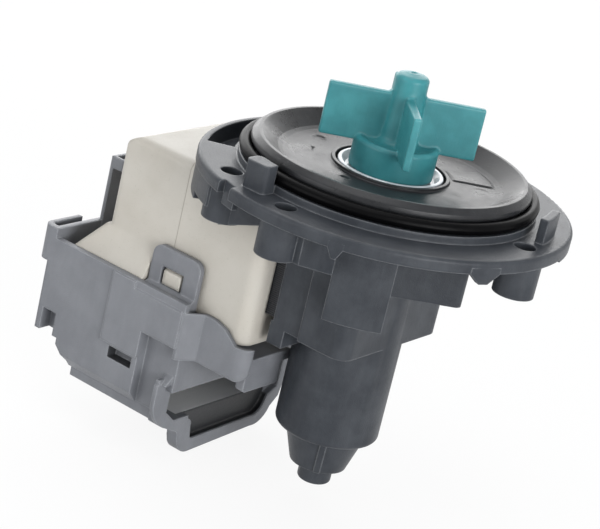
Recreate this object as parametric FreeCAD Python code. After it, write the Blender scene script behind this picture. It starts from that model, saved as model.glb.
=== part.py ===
import FreeCAD, Part
import math
import os

# A circulation pump driven by a single-phase synchronous motor.
# The pump axis is Z, up towards the impeller, and the origin is the centre of the flange's top face.
# The coil block and the plug inlet lie towards -X. Sizes are in millimetres and angles in degrees.

# Clearances
running_gap = 0.05          # radial, shaft in a bore that turns on it
slip_gap = 0.1              # between pieces pushed together by hand
seat_gap = 0.3              # between a piece and the housing that it lies in
cut_over = 1.0              # how far a cutting shape runs past the face that it opens

# Bearings and shaft
shaft_radius = 2.0
shaft_nose = 10.9           # above the clutch chamber
bearing_wall = 2.0
bearing_length = 6.7
mount_wall = 1.4
washer_radius = 3.7
washer_thickness = 0.7
axial_play = 0.15
carrier_flange_radius = 18.0
carrier_flange_thickness = 1.8
carrier_shoulder = 2.3
carrier_plug_depth = 6.3
carrier_lip_thickness = 1.1
carrier_lip_gap = 0.4
carrier_seal_section = 0.95

# Rotor
magnet_gap = 0.7
magnet_wall = 6.2
magnet_low = -45.0
magnet_high = -8.0
magnet_carrier_overlap = 0.9
magnet_carrier_neck_radius = 3.6

# Rotor can
can_inner_radius = 11.6
can_wall = 1.3
can_depth = 64.0
can_edge_round = 1.2
taper_step = 2.8
taper_wall = 1.6
taper_depth = 73.4
nub_radius = 4.2
nub_length = 4.9
nub_round = 0.8
nub_wall = 1.3
can_rib_count = 3
can_rib_azimuth = -56.0
can_rib_wall = 1.6
can_rib_stand = 0.4
can_floor = 1.4
shaft_end_gap = 0.5

# Stator core and coils
stack_low = -35.5
stack_high = -13.5
leg_inner_y = 9.0
leg_outer_y = 17.8
leg_end_x = 11.0
yoke_low_x = -58.0
yoke_width = 9.0
rivet_radius = 1.5
rivet_head_radius = 2.5
rivet_head_height = 0.8
rivet_spacing = 13.0
bobbin_wall = 1.0
bobbin_flange_depth = 3.4
bobbin_flange_wall = 1.2
bobbin_end_gap = 0.7
winding_inset = 0.2
winding_round = 2.4
cutout_length = 12.0
cutout_height = 6.0
cutout_low_x = -37.0
cutout_low_z = -20.0
cutout_round = 1.0

# Coil cover
cover_wall = 1.4
cover_end_gap = 2.0
cover_box_gap = 3.4
cover_head_room = 1.5
cover_foot_room = 2.1
cover_top_round = 6.0
cover_edge_round = 2.4
cover_front_round = 3.4
cover_room_round = 0.9
flare_reach_x = 6.0
flare_reach_y = 4.0
flare_high_x = -43.4
flare_top = -30.0
flare_bottom = -38.0
catch_stand = 2.0
catch_lead = 1.0
catch_gap = 0.25            # above and below the catch in its window

# Face plate, shield and seals
plate_floor_thickness = 1.9
plate_floor_radius = 25.8
plate_groove_radius = 33.1
plate_rim_step = 0.5
plate_rim_low = 4.9
plate_rim_height = 7.3
plate_rim_lean = 1.4
plate_rim_width = 0.8
plate_rim_bulge = 0.2
plate_lip_wall = 0.9
plate_lip_stand = 0.7
plate_pad_azimuths = (40.0, 84.0)
plate_pad_gap = 0.6
plate_pad_height = 0.35
ejector_radius = 1.7
ejector_ring_radius = 21.2
ejector_azimuth = 180.0
ejector_depth = 0.4
seal_section_radius = 1.45
seal_stand = 0.2
seal_gap = 0.03
shield_width = 2.0
shield_top = 4.4
shield_crown_width = 0.9
shield_skirt_gap = 0.6
shield_floor = 1.0
shield_bore_gap = 1.0
shield_plate_gap = 0.6

# Impeller and its clutch
skirt_outer_radius = 10.1
skirt_wall = 1.7
skirt_lift = 0.5            # above the shield's floor
skirt_side_top = 10.2
skirt_crest_inset = 0.9
skirt_crest = 11.2
hub_dish_inset = 2.5
hub_dish_z = 10.9
hub_sweep = 0.9
post_radius = 4.4
post_low = 14.0
blade_zone_low = 9.5
blade_zone_high = 22.3
impeller_blade_count = 4
impeller_blade_azimuth = 42.0
impeller_blade_radius = 18.7
impeller_blade_thickness = 2.1
impeller_corner_round = 0.8
impeller_root_round = 1.4
knob_radius = 4.0
knob_top_radius = 3.3
knob_shoulder = 25.6
knob_edge = 27.0
knob_top = 27.7
knob_bulge = 0.2
knob_dimple_radius = 0.9
knob_dimple_depth = 0.5
chamber_high = 9.4
pilot_gap = 0.5
stop_half_angle = 25.0
damper_wrap_angle = 8.0
damper_web = 0.9
damper_gap = 0.8
dog_hub_wall = 1.6
dog_tip_gap = 0.5
dog_half_angle = 25.0
dog_gap = 0.3
clutch_cover_thickness = 1.5
clutch_cover_lift = 0.3

# Flange
flange_radius = 45.0
flange_thickness = 3.0
flange_edge_round = 0.9
seat_ring_width = 8.8
seat_ring_height = 1.9
screw_edge_distance = 5.7
screw_hole_radius = 2.6
screw_azimuths = (-121.0, -90.0, 0.0, 90.0, 121.0)
screw_boss_wall = 2.3
screw_boss_depth = 11.4
rim_depth = 3.6
rim_width = 2.0
rim_azimuths = (12.0, 60.0)
arc_key_radii = (39.0, 41.1)
arc_key_azimuths = (7.5, 20.5)
arc_key_height = 5.9
pocket_offset = 0.8
pocket_depth = 4.4
pocket_azimuths = (172.0, 212.0)
pocket_wall = 2.0
pocket_end_angle = 3.0
skirt_inset = 0.3
side_skirt_wall = 1.5
skirt_azimuths = (119.0, 131.0, 145.4)
skirt_depths = (8.4, 10.2)
cheek_length = 5.6
cheek_wall = 1.5
notch_azimuths = (-113.0, -107.0)
notch_width = 1.7
notch_tab_wall = 1.5
notch_tab_depth = 5.6
key_low_x = -13.3
key_length = 6.5
key_width = 4.7
key_edge_distance = 5.8
key_height = 6.6
key_round = 1.2
web_low_x = -19.0
web_high_x = -7.0
web_wall = 1.6
web_depth_left = 12.3
web_depth_right = 7.8
hook_tab_azimuth = -68.4
hook_tab_width = 3.6
hook_tab_depth = 5.4
nose_tab_azimuth = -24.0
nose_tab_width = 7.8
nose_tab_depth = 5.4
tab_wall = 1.6
tab_tip_share = 0.3

# Collar and pole box under the flange
panel_radius = 25.6
panel_azimuths = (-75.0, -43.0)
panel_depth = 27.3
panel_inner_radius = 17.0
collar_azimuth = 43.0
collar_reach = 21.9
collar_half_width = 13.4
collar_round = 2.0
collar_depth = 22.6
pole_box_low_x = -9.6
pole_box_end_wall = 1.1
pole_box_side_wall = 2.4
pole_box_floor = 1.3
pole_box_round = 4.0
pole_box_step_x = -1.0
pole_box_step = 1.3
gusset_wall = 1.8
gusset_top_depth = 11.4
gusset_end_depth = 17.0
lug_stand = 0.6              # past the pole box's left end
lug_length = 4.4
lug_width = 9.0
lug_depth = 4.4

# Connector shroud
shroud_left_room = 4.0
shroud_wall = 1.6
shroud_side_wall = 1.9
shroud_top_cover = 0.5
tray_bottom = -54.0
tray_end_x = -27.2
plug_low_x = -64.0
plug_high_x = -30.0
plug_wall = 2.2
plug_rear_y = 23.2
plug_rear_bevel = 4.0
plug_front_wall = 5.3
plug_face_x = -28.0
plug_face_wall = 1.8
ceiling_z = -61.8
ceiling_wall = 1.8
bevel_z = -65.6
lip_y = -26.3
lip_step = 1.2
lip_top_z = -68.4
lip_bottom_z = -71.3
plug_floor_z = -73.6
plug_floor_front_y = -21.0
mouth_low_x = -33.4
mouth_stand = 0.4
mouth_bottom_z = -82.0
mouth_back_wall = 1.4
mouth_flange_wall = 1.2
mouth_flange_top = -58.6
plug_end_wall = 3.8
corner_low_z = -66.8
corner_high_z = -63.6
corner_x = -60.5
raised_low_x = -50.2
raised_high_x = -27.6
raised_bottom = -48.9
raised_left_bottom = -56.0
raised_stand = 0.6
raised_top_gap = 0.3
slot_low_x = -47.4
slot_high_x = -39.8
slot_top = -56.7
slot_bottom = -59.7
slot_depth = 3.4
channel_low_x = -38.3
channel_top = -49.3
channel_depth = 3.0
channel_back_wall = 1.8
channel_nib = 2.4
channel_nib_z = -57.4
channel_nib_inset = 0.6
latch_low_x = -42.9
latch_high_x = -28.0
latch_top = -27.9
latch_gap = 0.6
latch_wall = 1.6
latch_corner_round = 2.6
latch_foot = -40.5
latch_slope = 2.1
window_low_x = -39.4
window_high_x = -32.6
window_top = -32.8
window_bottom = -37.4
window_gap = 0.7
wing_gap = 0.4
wing_wall = 1.3
wing_bend_x = -24.4
wing_end_x = -10.4
wing_curl = 3.2
deck_top = -47.2
deck_wall = 1.8
deck_end_x = -12.0
deck_rear_y = -7.5
deck_front_y = -21.4
arm_bottom = -55.7
arm_wall = 2.4
arm_round = 1.2
arm_tip = 2.7
arm_tip_bottom = -49.8
side_hook_length = 7.6
side_hook_bottom = -62.0
side_hook_wall = 1.6
side_hook_top_wall = 2.0
strap_reach = 3.4
strap_wall = 1.3
strap_corner = 2.6
strap_rear_y = -17.0
strap_top = -35.0
strap_bottom = -44.0
mast_half_width = 13.9
mast_top = -17.9
mast_offset = 0.8
mast_wall = 1.0
mast_eye = 3.0
mast_eye_length = 7.0
ledge_width = 2.6
ledge_wall = 2.2

# Lower rim of the plug inlet's mouth in (y, z), from the front round to the rear: its outside and its
# inside. A row of four numbers is the middle and the end of an arc.
mouth_rim = ((-28.6, -69.6, -24.7, -72.6), (-19.8, -74.7), (-18.5, -75.7, -18.1, -77.2), (-17.4, -79.2),
             (-15.6, -81.2, -12.6, mouth_bottom_z), (12.6, -81.0), (17.3, -79.9, 19.6, -76.9), (22.4, -74.4),
             (plug_rear_y, -71.0))
mouth_opening = ((-15.2, -72.4), (-13.9, -73.1, -13.5, -74.6), (-12.9, -77.4), (-12.4, -78.3, -11.4, -78.6),
                 (12.0, -78.1), (15.5, -77.1, 16.8, -75.2), (17.6, -73.0))

# Right end of the shroud's front in (x, z), from its foot round to its top
wing_outline = ((-13.5, -51.8), (-11.3, -51.4, -10.4, -50.0), (-10.4, -43.4), (-14.2, -43.4), (-17.9, -40.6),
                (-21.3, -39.5))

# Terminals
carrier_block_low_x = -59.0
carrier_block_high_x = -53.6
carrier_block_half_width = 11.0
well_wall = 1.3
blade_count = 2
blade_pitch = 11.0
blade_width = 6.3
blade_thickness = 0.8
blade_tip_x = -43.0
blade_z = -68.4
blade_x = -56.6
blade_root_depth = 1.1

# Sizes that follow from the ones above
can_radius = can_inner_radius + can_wall
magnet_radius = can_inner_radius - magnet_gap
magnet_bore_radius = magnet_radius - magnet_wall
pole_arc_radius = can_radius + seat_gap
bearing_radius = shaft_radius + bearing_wall
mount_radius = bearing_radius + mount_wall
taper_top_radius = can_radius - taper_step
taper_end_radius = mount_radius + slip_gap + taper_wall
carrier_plug_radius = can_inner_radius + carrier_shoulder
carrier_lip_radius = washer_radius + carrier_lip_gap
front_bearing_low = -carrier_plug_depth + carrier_lip_thickness + slip_gap
rear_pocket_low = -taper_depth + can_floor
rear_bearing_low = rear_pocket_low + slip_gap
rear_bearing_high = rear_bearing_low + bearing_length
front_washer_high = front_bearing_low - axial_play
front_washer_low = front_washer_high - washer_thickness
rear_washer_low = rear_bearing_high + axial_play
rear_washer_high = rear_washer_low + washer_thickness
leg_middle_y = (leg_inner_y + leg_outer_y) / 2
stack_middle = (stack_low + stack_high) / 2
yoke_high_x = yoke_low_x + yoke_width
bobbin_inner_half_y = (leg_outer_y - leg_inner_y) / 2 + slip_gap
bobbin_inner_half_z = (stack_high - stack_low) / 2 + slip_gap
bobbin_outer_half_y = bobbin_inner_half_y + bobbin_wall + bobbin_flange_depth
bobbin_outer_half_z = bobbin_inner_half_z + bobbin_wall + bobbin_flange_depth
cover_low_x = yoke_low_x - cover_end_gap
cover_high_x = pole_box_low_x - cover_box_gap
cover_half_width = leg_middle_y + bobbin_outer_half_y + seat_gap + cover_wall
cover_top = stack_middle + bobbin_outer_half_z + cover_head_room + cover_wall
cover_bottom = stack_middle - bobbin_outer_half_z - cover_foot_room - cover_wall
bobbin_low_x = yoke_high_x + bobbin_end_gap
bobbin_high_x = cover_high_x - cover_wall - bobbin_end_gap
flare_low_x = cover_low_x - flare_reach_x
flare_half_width = cover_half_width + flare_reach_y
plate_floor_top = seat_ring_height + plate_floor_thickness
plate_rim_radius = plate_groove_radius + plate_rim_step
plate_rim_top_radius = plate_rim_radius - plate_rim_lean
plate_rim_inner_radius = plate_rim_top_radius - plate_rim_width
plate_lip_height = plate_floor_top + plate_lip_stand
shield_base = carrier_flange_thickness + slip_gap
shield_dish_radius = skirt_outer_radius + shield_skirt_gap
shield_radius = shield_dish_radius + shield_width
shield_bore_radius = shaft_radius + shield_bore_gap
plate_bore_radius = shield_radius + shield_plate_gap
plate_lip_radius = plate_bore_radius + plate_lip_wall
plate_pad_radii = (plate_lip_radius + plate_pad_gap, plate_floor_radius + plate_pad_gap)
seat_ring_radius = plate_groove_radius + seal_section_radius * 2 - seal_stand
seat_ring_inner_radius = seat_ring_radius - seat_ring_width
seal_ring_radius = plate_groove_radius + seal_section_radius + seal_gap
key_inner_radius = seal_ring_radius + seal_section_radius + seat_gap
skirt_foot = shield_base + shield_floor + skirt_lift
clutch_cover_low = skirt_foot + clutch_cover_lift
chamber_low = clutch_cover_low + clutch_cover_thickness
chamber_radius = skirt_outer_radius - skirt_wall
skirt_crest_radius = skirt_outer_radius - skirt_crest_inset
hub_dish_radius = skirt_outer_radius - hub_dish_inset
shaft_high = chamber_high + shaft_nose
nub_depth = taper_depth + nub_length
shaft_pocket_low = -nub_depth + nub_wall
shaft_pocket_radius = shaft_radius + shaft_end_gap
shaft_low = shaft_pocket_low + shaft_end_gap
pilot_bore_high = shaft_high + pilot_gap
dog_hub_radius = shaft_radius + dog_hub_wall
damper_inner_radius = dog_hub_radius + damper_gap
stop_inner_radius = damper_inner_radius + damper_web
dog_radius = chamber_radius - dog_tip_gap
dog_low = chamber_low + dog_gap
dog_high = chamber_high - dog_gap
screw_circle_radius = flange_radius - screw_edge_distance
screw_boss_radius = screw_hole_radius + screw_boss_wall
skirt_radius = flange_radius - skirt_inset
pocket_inner_radius = seat_ring_radius + pocket_offset
pocket_outer_radius = skirt_radius - side_skirt_wall
pocket_bottom = cover_top + seat_gap
key_low_y = -(flange_radius - key_edge_distance)
web_y = -seat_ring_radius + seal_stand
box_inner_high_x = leg_end_x + seat_gap
core_room_half = leg_outer_y + seat_gap
core_room_low = stack_low - seat_gap
core_room_high = stack_high + seat_gap
pole_box_high_x = box_inner_high_x + pole_box_end_wall
pole_box_half_width = core_room_half + pole_box_side_wall
pole_box_depth = pole_box_floor - core_room_low
shroud_front_y = -(flare_half_width + slip_gap + shroud_side_wall)
shroud_rear_y = -shroud_front_y
shroud_low_x = flare_low_x - shroud_left_room - shroud_wall
shroud_top = flare_bottom + shroud_top_cover
latch_outer_y = -(cover_half_width + latch_gap + latch_wall)
wing_y = -(cover_half_width + wing_gap + wing_wall)
catch_low_x = window_low_x + window_gap
catch_length = window_high_x - window_low_x - window_gap * 2
catch_top = window_top - catch_gap + catch_lead * latch_gap / catch_stand
catch_bottom = window_bottom + catch_gap
strap_low_x = shroud_low_x - strap_reach
mast_low_x = shroud_low_x + mast_offset

PARTS = "parts"


def vec(x, y, z):
    return FreeCAD.Vector(x, y, z)


def block(x_low, x_high, y_low, y_high, z_low, z_high):
    return Part.makeBox(x_high - x_low, y_high - y_low, z_high - z_low, vec(x_low, y_low, z_low))


def disc(radius, z_low, z_high, x=0.0, y=0.0):
    return Part.makeCylinder(radius, z_high - z_low, vec(x, y, z_low))


def ring(outer, inner, z_low, z_high):
    return disc(outer, z_low, z_high).cut(disc(inner, z_low, z_high))


def sector(inner, outer, azimuths, z_low, z_high):
    """Piece of a ring between two azimuths."""
    start, end = azimuths
    up = vec(0, 0, 1)
    foot = vec(0, 0, z_low)
    whole = Part.makeCylinder(outer, z_high - z_low, foot, up, end - start)
    middle = Part.makeCylinder(inner, z_high - z_low, foot, up, end - start)
    piece = whole.cut(middle)
    piece.rotate(vec(0, 0, 0), up, start)
    return piece


def face_through(points, place):
    """Face inside a closed outline. A point of four numbers is the middle and the end of an arc."""
    edges = []
    here = place(*points[0])
    for point in points[1:] + points[:1]:
        there = place(*point[-2:])
        if len(point) == 4:
            edges.append(Part.Arc(here, place(*point[:2]), there).toShape())
        else:
            edges.append(Part.LineSegment(here, there).toShape())
        here = there
    return Part.Face(Part.Wire(edges))


def prism_x(points, low, high):
    """Outline of (y, z) points carried along X."""
    return face_through(points, lambda y, z: vec(low, y, z)).extrude(vec(high - low, 0, 0))


def prism_y(points, low, high):
    """Outline of (x, z) points carried along Y."""
    return face_through(points, lambda x, z: vec(x, low, z)).extrude(vec(0, high - low, 0))


def prism_z(points, low, high):
    """Outline of (x, y) points carried along Z."""
    return face_through(points, lambda x, y: vec(x, y, low)).extrude(vec(0, 0, high - low))


def turned(points):
    """Outline of (radius, z) points turned about the pump axis."""
    return face_through(points, lambda r, z: vec(r, 0, z)).revolve(vec(0, 0, 0), vec(0, 0, 1), 360)


def round_rectangle(a_low, a_high, b_low, b_high, rounds):
    """Rectangle outline. Rounds are its corner radii, from the low-low corner anticlockwise."""
    corners = (
        (a_low, b_low, 0, 1, 1, 0),
        (a_high, b_low, -1, 0, 0, 1),
        (a_high, b_high, 0, -1, -1, 0),
        (a_low, b_high, 1, 0, 0, -1),
    )
    far = 1 - math.sqrt(0.5)
    points = []
    for (a, b, in_a, in_b, out_a, out_b), size in zip(corners, rounds):
        if size <= 0:
            points.append((a, b))
            continue
        turn_a = in_a + out_a
        turn_b = in_b + out_b
        points.append((a + in_a * size, b + in_b * size))
        end = (a + out_a * size, b + out_b * size)
        points.append((a + turn_a * size * far, b + turn_b * size * far) + end)
    return points


def moved_round(shape, azimuth):
    turned_shape = shape.copy()
    turned_shape.rotate(vec(0, 0, 0), vec(0, 0, 1), azimuth)
    return turned_shape


def mirrored_y(shape):
    return shape.mirror(vec(0, 0, 0), vec(0, 1, 0))


def on_circle(radius, azimuth):
    return radius * math.cos(math.radians(azimuth)), radius * math.sin(math.radians(azimuth))


def joined(first, *others):
    return first.fuse(list(others)).removeSplitter()


def edges_where(shape, test):
    return [edge for edge in shape.Edges if test(edge)]


def is_circle(edge, radius, z):
    curve = edge.Curve
    if not isinstance(curve, Part.Circle):
        return False
    return abs(curve.Radius - radius) < 0.01 and abs(curve.Center.z - z) < 0.01


def save(name, shape):
    shape.exportStep(os.path.join(PARTS, name + ".step"))
    print(name, "solids", len(shape.Solids), "volume", round(shape.Volume), "valid", shape.isValid())


def rim_tab(azimuth, width, depth):
    """Pointed tab that hangs on the flange's rim."""
    half = width / 2
    tip = half * tab_tip_share
    points = [(-half, -flange_thickness / 2), (half, -flange_thickness / 2), (half, -flange_thickness),
              (tip, -depth), (-tip, -depth), (-half, -flange_thickness)]
    tab = prism_x(points, flange_radius - tab_wall, flange_radius)
    return moved_round(tab, azimuth)


def flange_plate():
    """Round flange with its seat ring, rim, tabs, pocket floor and two keys."""
    plate = disc(flange_radius, -flange_thickness, 0)
    top_edge = edges_where(plate, lambda e: is_circle(e, flange_radius, 0))
    plate = plate.makeFillet(flange_edge_round, top_edge)
    seat = ring(seat_ring_radius, seat_ring_inner_radius, -flange_thickness / 2, seat_ring_height)
    rim = sector(flange_radius - rim_width, flange_radius, rim_azimuths, -rim_depth, -flange_thickness / 2)
    pocket_sides = (pocket_azimuths[0] - pocket_end_angle, pocket_azimuths[1] + pocket_end_angle)
    pocket_box = sector(pocket_inner_radius - pocket_wall, skirt_radius, pocket_sides,
                        pocket_bottom, -flange_thickness / 2)
    key = prism_z(round_rectangle(key_low_x, key_low_x + key_length, key_low_y, key_low_y + key_width,
                                  (key_round,) * 4), -flange_thickness / 2, key_height)
    key = key.cut(disc(key_inner_radius, seat_ring_height, key_height))
    arc_key = sector(arc_key_radii[0], arc_key_radii[1], arc_key_azimuths, -flange_thickness / 2,
                     arc_key_height)
    notch_radius = flange_radius - notch_width
    tabs = [rim_tab(hook_tab_azimuth, hook_tab_width, hook_tab_depth),
            rim_tab(nose_tab_azimuth, nose_tab_width, nose_tab_depth),
            sector(notch_radius - notch_tab_wall, notch_radius, notch_azimuths, -notch_tab_depth,
                   -flange_thickness / 2)]
    bosses = []
    for azimuth in screw_azimuths:
        x, y = on_circle(screw_circle_radius, azimuth)
        boss = disc(screw_boss_radius, -screw_boss_depth, -flange_thickness / 2, x, y)
        bosses.append(boss.common(disc(flange_radius, -screw_boss_depth, 0)))
    return plate.fuse([seat, rim, pocket_box, key, arc_key] + tabs + bosses)


def skirt_side():
    """Skirt under the left of the flange, with the cheek that lies along the coil cover."""
    steps = []
    for start, end, depth in zip(skirt_azimuths, skirt_azimuths[1:], skirt_depths):
        steps.append(sector(pocket_outer_radius, skirt_radius, (-end, -start), -depth,
                            -flange_thickness / 2))
    cheek_y = -(cover_half_width + seat_gap)
    cheek_x = -math.sqrt(skirt_radius ** 2 - (cheek_y - cheek_wall) ** 2)
    cheek = block(cheek_x + side_skirt_wall / 2, cheek_x + cheek_length, cheek_y - cheek_wall, cheek_y,
                  -skirt_depths[1], -flange_thickness / 2)
    return cheek.fuse(steps)


def under_flange():
    """Collar, front panel, pole box, gusset and lug that hang under the flange."""
    box_outline = round_rectangle(pole_box_low_x, pole_box_high_x, -pole_box_half_width,
                                  pole_box_half_width, (0, pole_box_round, pole_box_round, 0))
    pole_box = prism_z(box_outline, -pole_box_depth, -flange_thickness / 2)
    step = block(pole_box_low_x - cut_over, pole_box_step_x, -pole_box_half_width - cut_over,
                 -pole_box_half_width + pole_box_step, -pole_box_depth - cut_over, -flange_thickness)
    pole_box = pole_box.cut([step, mirrored_y(step)])
    hung_from = -flange_thickness / 2
    panel = sector(panel_inner_radius, panel_radius, panel_azimuths, -panel_depth, hung_from)
    collar_outline = round_rectangle(0, collar_reach, -collar_half_width, collar_half_width,
                                     (0, collar_round, collar_round, 0))
    collar = moved_round(prism_z(collar_outline, -collar_depth, hung_from), collar_azimuth)
    gusset_x, gusset_y = on_circle(panel_radius, panel_azimuths[0])
    boss_x, boss_y = on_circle(screw_circle_radius, screw_azimuths[1])
    gusset_points = [(boss_y, hung_from), (boss_y, -gusset_top_depth),
                     (gusset_y + gusset_wall, -gusset_end_depth), (gusset_y + gusset_wall, hung_from)]
    gusset = prism_x(gusset_points, gusset_x - gusset_wall, gusset_x)
    lug_y = -pole_box_half_width + pole_box_step
    lug_x = pole_box_low_x - lug_stand
    lug = block(lug_x, lug_x + lug_length, lug_y, lug_y + lug_width,
                -pole_box_depth - lug_depth, -pole_box_depth + pole_box_floor)
    web = prism_y([(web_low_x, hung_from), (web_low_x, -web_depth_left), (web_high_x, -web_depth_right),
                   (web_high_x, hung_from)], web_y - web_wall / 2, web_y + web_wall / 2)
    return pole_box.fuse([panel, collar, gusset, lug, web])


def rotor_can():
    """Closed can round the rotor, with the tapered end that holds the rear bearing."""
    can = disc(can_radius, -can_depth, -flange_thickness / 2)
    can = can.makeFillet(can_edge_round, edges_where(can, lambda e: is_circle(e, can_radius, -can_depth)))
    taper = turned([(0, -can_depth), (taper_top_radius, -can_depth), (taper_end_radius, -taper_depth),
                    (0, -taper_depth)])
    nub = disc(nub_radius, -nub_depth, -taper_depth)
    nub = nub.makeFillet(nub_round, edges_where(nub, lambda e: is_circle(e, nub_radius, -nub_depth)))
    ribs = []
    for step in range(can_rib_count):
        points = [(taper_end_radius / 2, -can_depth), (taper_top_radius + can_rib_stand, -can_depth),
                  (taper_end_radius + can_rib_stand, -taper_depth), (taper_end_radius / 2, -taper_depth)]
        rib = prism_y(points, -can_rib_wall / 2, can_rib_wall / 2)
        ribs.append(moved_round(rib, can_rib_azimuth + 360.0 / can_rib_count * step))
    return can.fuse([taper, nub] + ribs)


def flange_housing():
    """Flange, pole box and rotor can, moulded as one piece."""
    body = flange_plate().fuse([skirt_side(), mirrored_y(skirt_side()), under_flange(), rotor_can()])
    core_room = block(cover_low_x, box_inner_high_x, -core_room_half, core_room_half,
                      core_room_low, core_room_high).cut(disc(can_radius, -can_depth, 0))
    coil_room = block(cover_low_x - cut_over, cover_high_x + seat_gap, -cover_half_width - seat_gap,
                      cover_half_width + seat_gap, -can_depth, cover_top + seat_gap)
    coil_room = coil_room.cut(disc(can_radius, -can_depth, 0))
    cuts = [core_room, coil_room]
    cuts.append(disc(can_inner_radius, -can_depth + can_wall, seat_ring_height))
    cuts.append(disc(carrier_plug_radius + slip_gap, -carrier_plug_depth - slip_gap, seat_ring_height))
    cuts.append(disc(mount_radius + slip_gap, rear_pocket_low, -can_depth + can_wall * 2))
    cuts.append(disc(shaft_pocket_radius, shaft_pocket_low, rear_pocket_low + cut_over))
    for azimuth in screw_azimuths:
        x, y = on_circle(screw_circle_radius, azimuth)
        cuts.append(disc(screw_hole_radius, -screw_boss_depth - cut_over, cut_over, x, y))
    cuts.append(sector(pocket_inner_radius, pocket_outer_radius, pocket_azimuths, -pocket_depth, cut_over))
    cuts.append(sector(flange_radius - notch_width, flange_radius + cut_over, notch_azimuths,
                       -notch_tab_depth, cut_over))
    return body.cut(cuts).removeSplitter()


def face_plate():
    """Dished plate over the motor, held in the pump's volute."""
    profile = [
        (plate_bore_radius, seat_ring_height), (plate_groove_radius, seat_ring_height),
        (plate_groove_radius, plate_rim_low), (plate_rim_radius, plate_rim_low),
        (plate_rim_radius - plate_rim_bulge, plate_rim_low + plate_rim_lean,
         plate_rim_top_radius, plate_rim_height),
        (plate_rim_inner_radius, plate_rim_height), (plate_floor_radius, plate_floor_top),
        (plate_lip_radius, plate_floor_top), (plate_lip_radius, plate_lip_height),
        (plate_bore_radius, plate_lip_height),
    ]
    plate = turned(profile)
    pad = sector(plate_pad_radii[0], plate_pad_radii[1], plate_pad_azimuths,
                 plate_floor_top - plate_floor_thickness / 2, plate_floor_top + plate_pad_height)
    x, y = on_circle(ejector_ring_radius, ejector_azimuth)
    ejector = disc(ejector_radius, plate_floor_top - ejector_depth, plate_floor_top + cut_over, x, y)
    return plate.fuse(pad).cut(ejector).removeSplitter()


def face_plate_seal():
    height = seat_ring_height + seal_section_radius + seal_gap
    return Part.makeTorus(seal_ring_radius, seal_section_radius, vec(0, 0, height))


def bearing_carrier():
    """Lid of the rotor can, which holds the front bearing."""
    lid = disc(carrier_flange_radius, 0, carrier_flange_thickness)
    plug = disc(carrier_plug_radius, -carrier_plug_depth, 0)
    groove_middle = -carrier_plug_depth / 2
    groove_half = carrier_seal_section + slip_gap
    groove = ring(carrier_plug_radius + cut_over, carrier_plug_radius - carrier_seal_section * 2,
                  groove_middle - groove_half, groove_middle + groove_half)
    seat = disc(mount_radius + slip_gap, front_bearing_low - slip_gap, carrier_flange_thickness + cut_over)
    eye = disc(carrier_lip_radius, -carrier_plug_depth - cut_over, 0)
    return lid.fuse(plug).cut([groove, seat, eye]).removeSplitter()


def carrier_seal():
    section = carrier_seal_section
    middle = carrier_plug_radius - section + seal_gap
    return Part.makeTorus(middle, section, vec(0, 0, -carrier_plug_depth / 2))


def bearing_bush(low):
    return ring(bearing_radius, shaft_radius + running_gap, low, low + bearing_length)


def bearing_mount(low):
    return ring(mount_radius, bearing_radius + seal_gap, low, low + bearing_length)


def thrust_washer(low):
    return ring(washer_radius, shaft_radius, low, low + washer_thickness)


def rotor_shaft():
    return disc(shaft_radius, shaft_low, shaft_high)


def rotor_magnet():
    return ring(magnet_radius, magnet_bore_radius, magnet_low, magnet_high)


def magnet_carrier():
    """Plastic sleeve that joins the magnet to the shaft, with a neck to each thrust washer."""
    low = magnet_low - magnet_carrier_overlap
    high = magnet_high + magnet_carrier_overlap
    profile = [
        (shaft_radius, rear_washer_high), (magnet_carrier_neck_radius, rear_washer_high),
        (magnet_carrier_neck_radius, low), (magnet_bore_radius, low), (magnet_bore_radius, high),
        (magnet_carrier_neck_radius, high), (magnet_carrier_neck_radius, front_washer_low),
        (shaft_radius, front_washer_low),
    ]
    return turned(profile)


def bearing_shield():
    """Dished ring under the impeller, which covers the front bearing."""
    floor = shield_base + shield_floor
    profile = [
        (shield_bore_radius, shield_base), (shield_radius, shield_base), (shield_radius, shield_top),
        (shield_radius - shield_crown_width, shield_top), (shield_dish_radius, floor),
        (shield_bore_radius, floor),
    ]
    return turned(profile)


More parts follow.
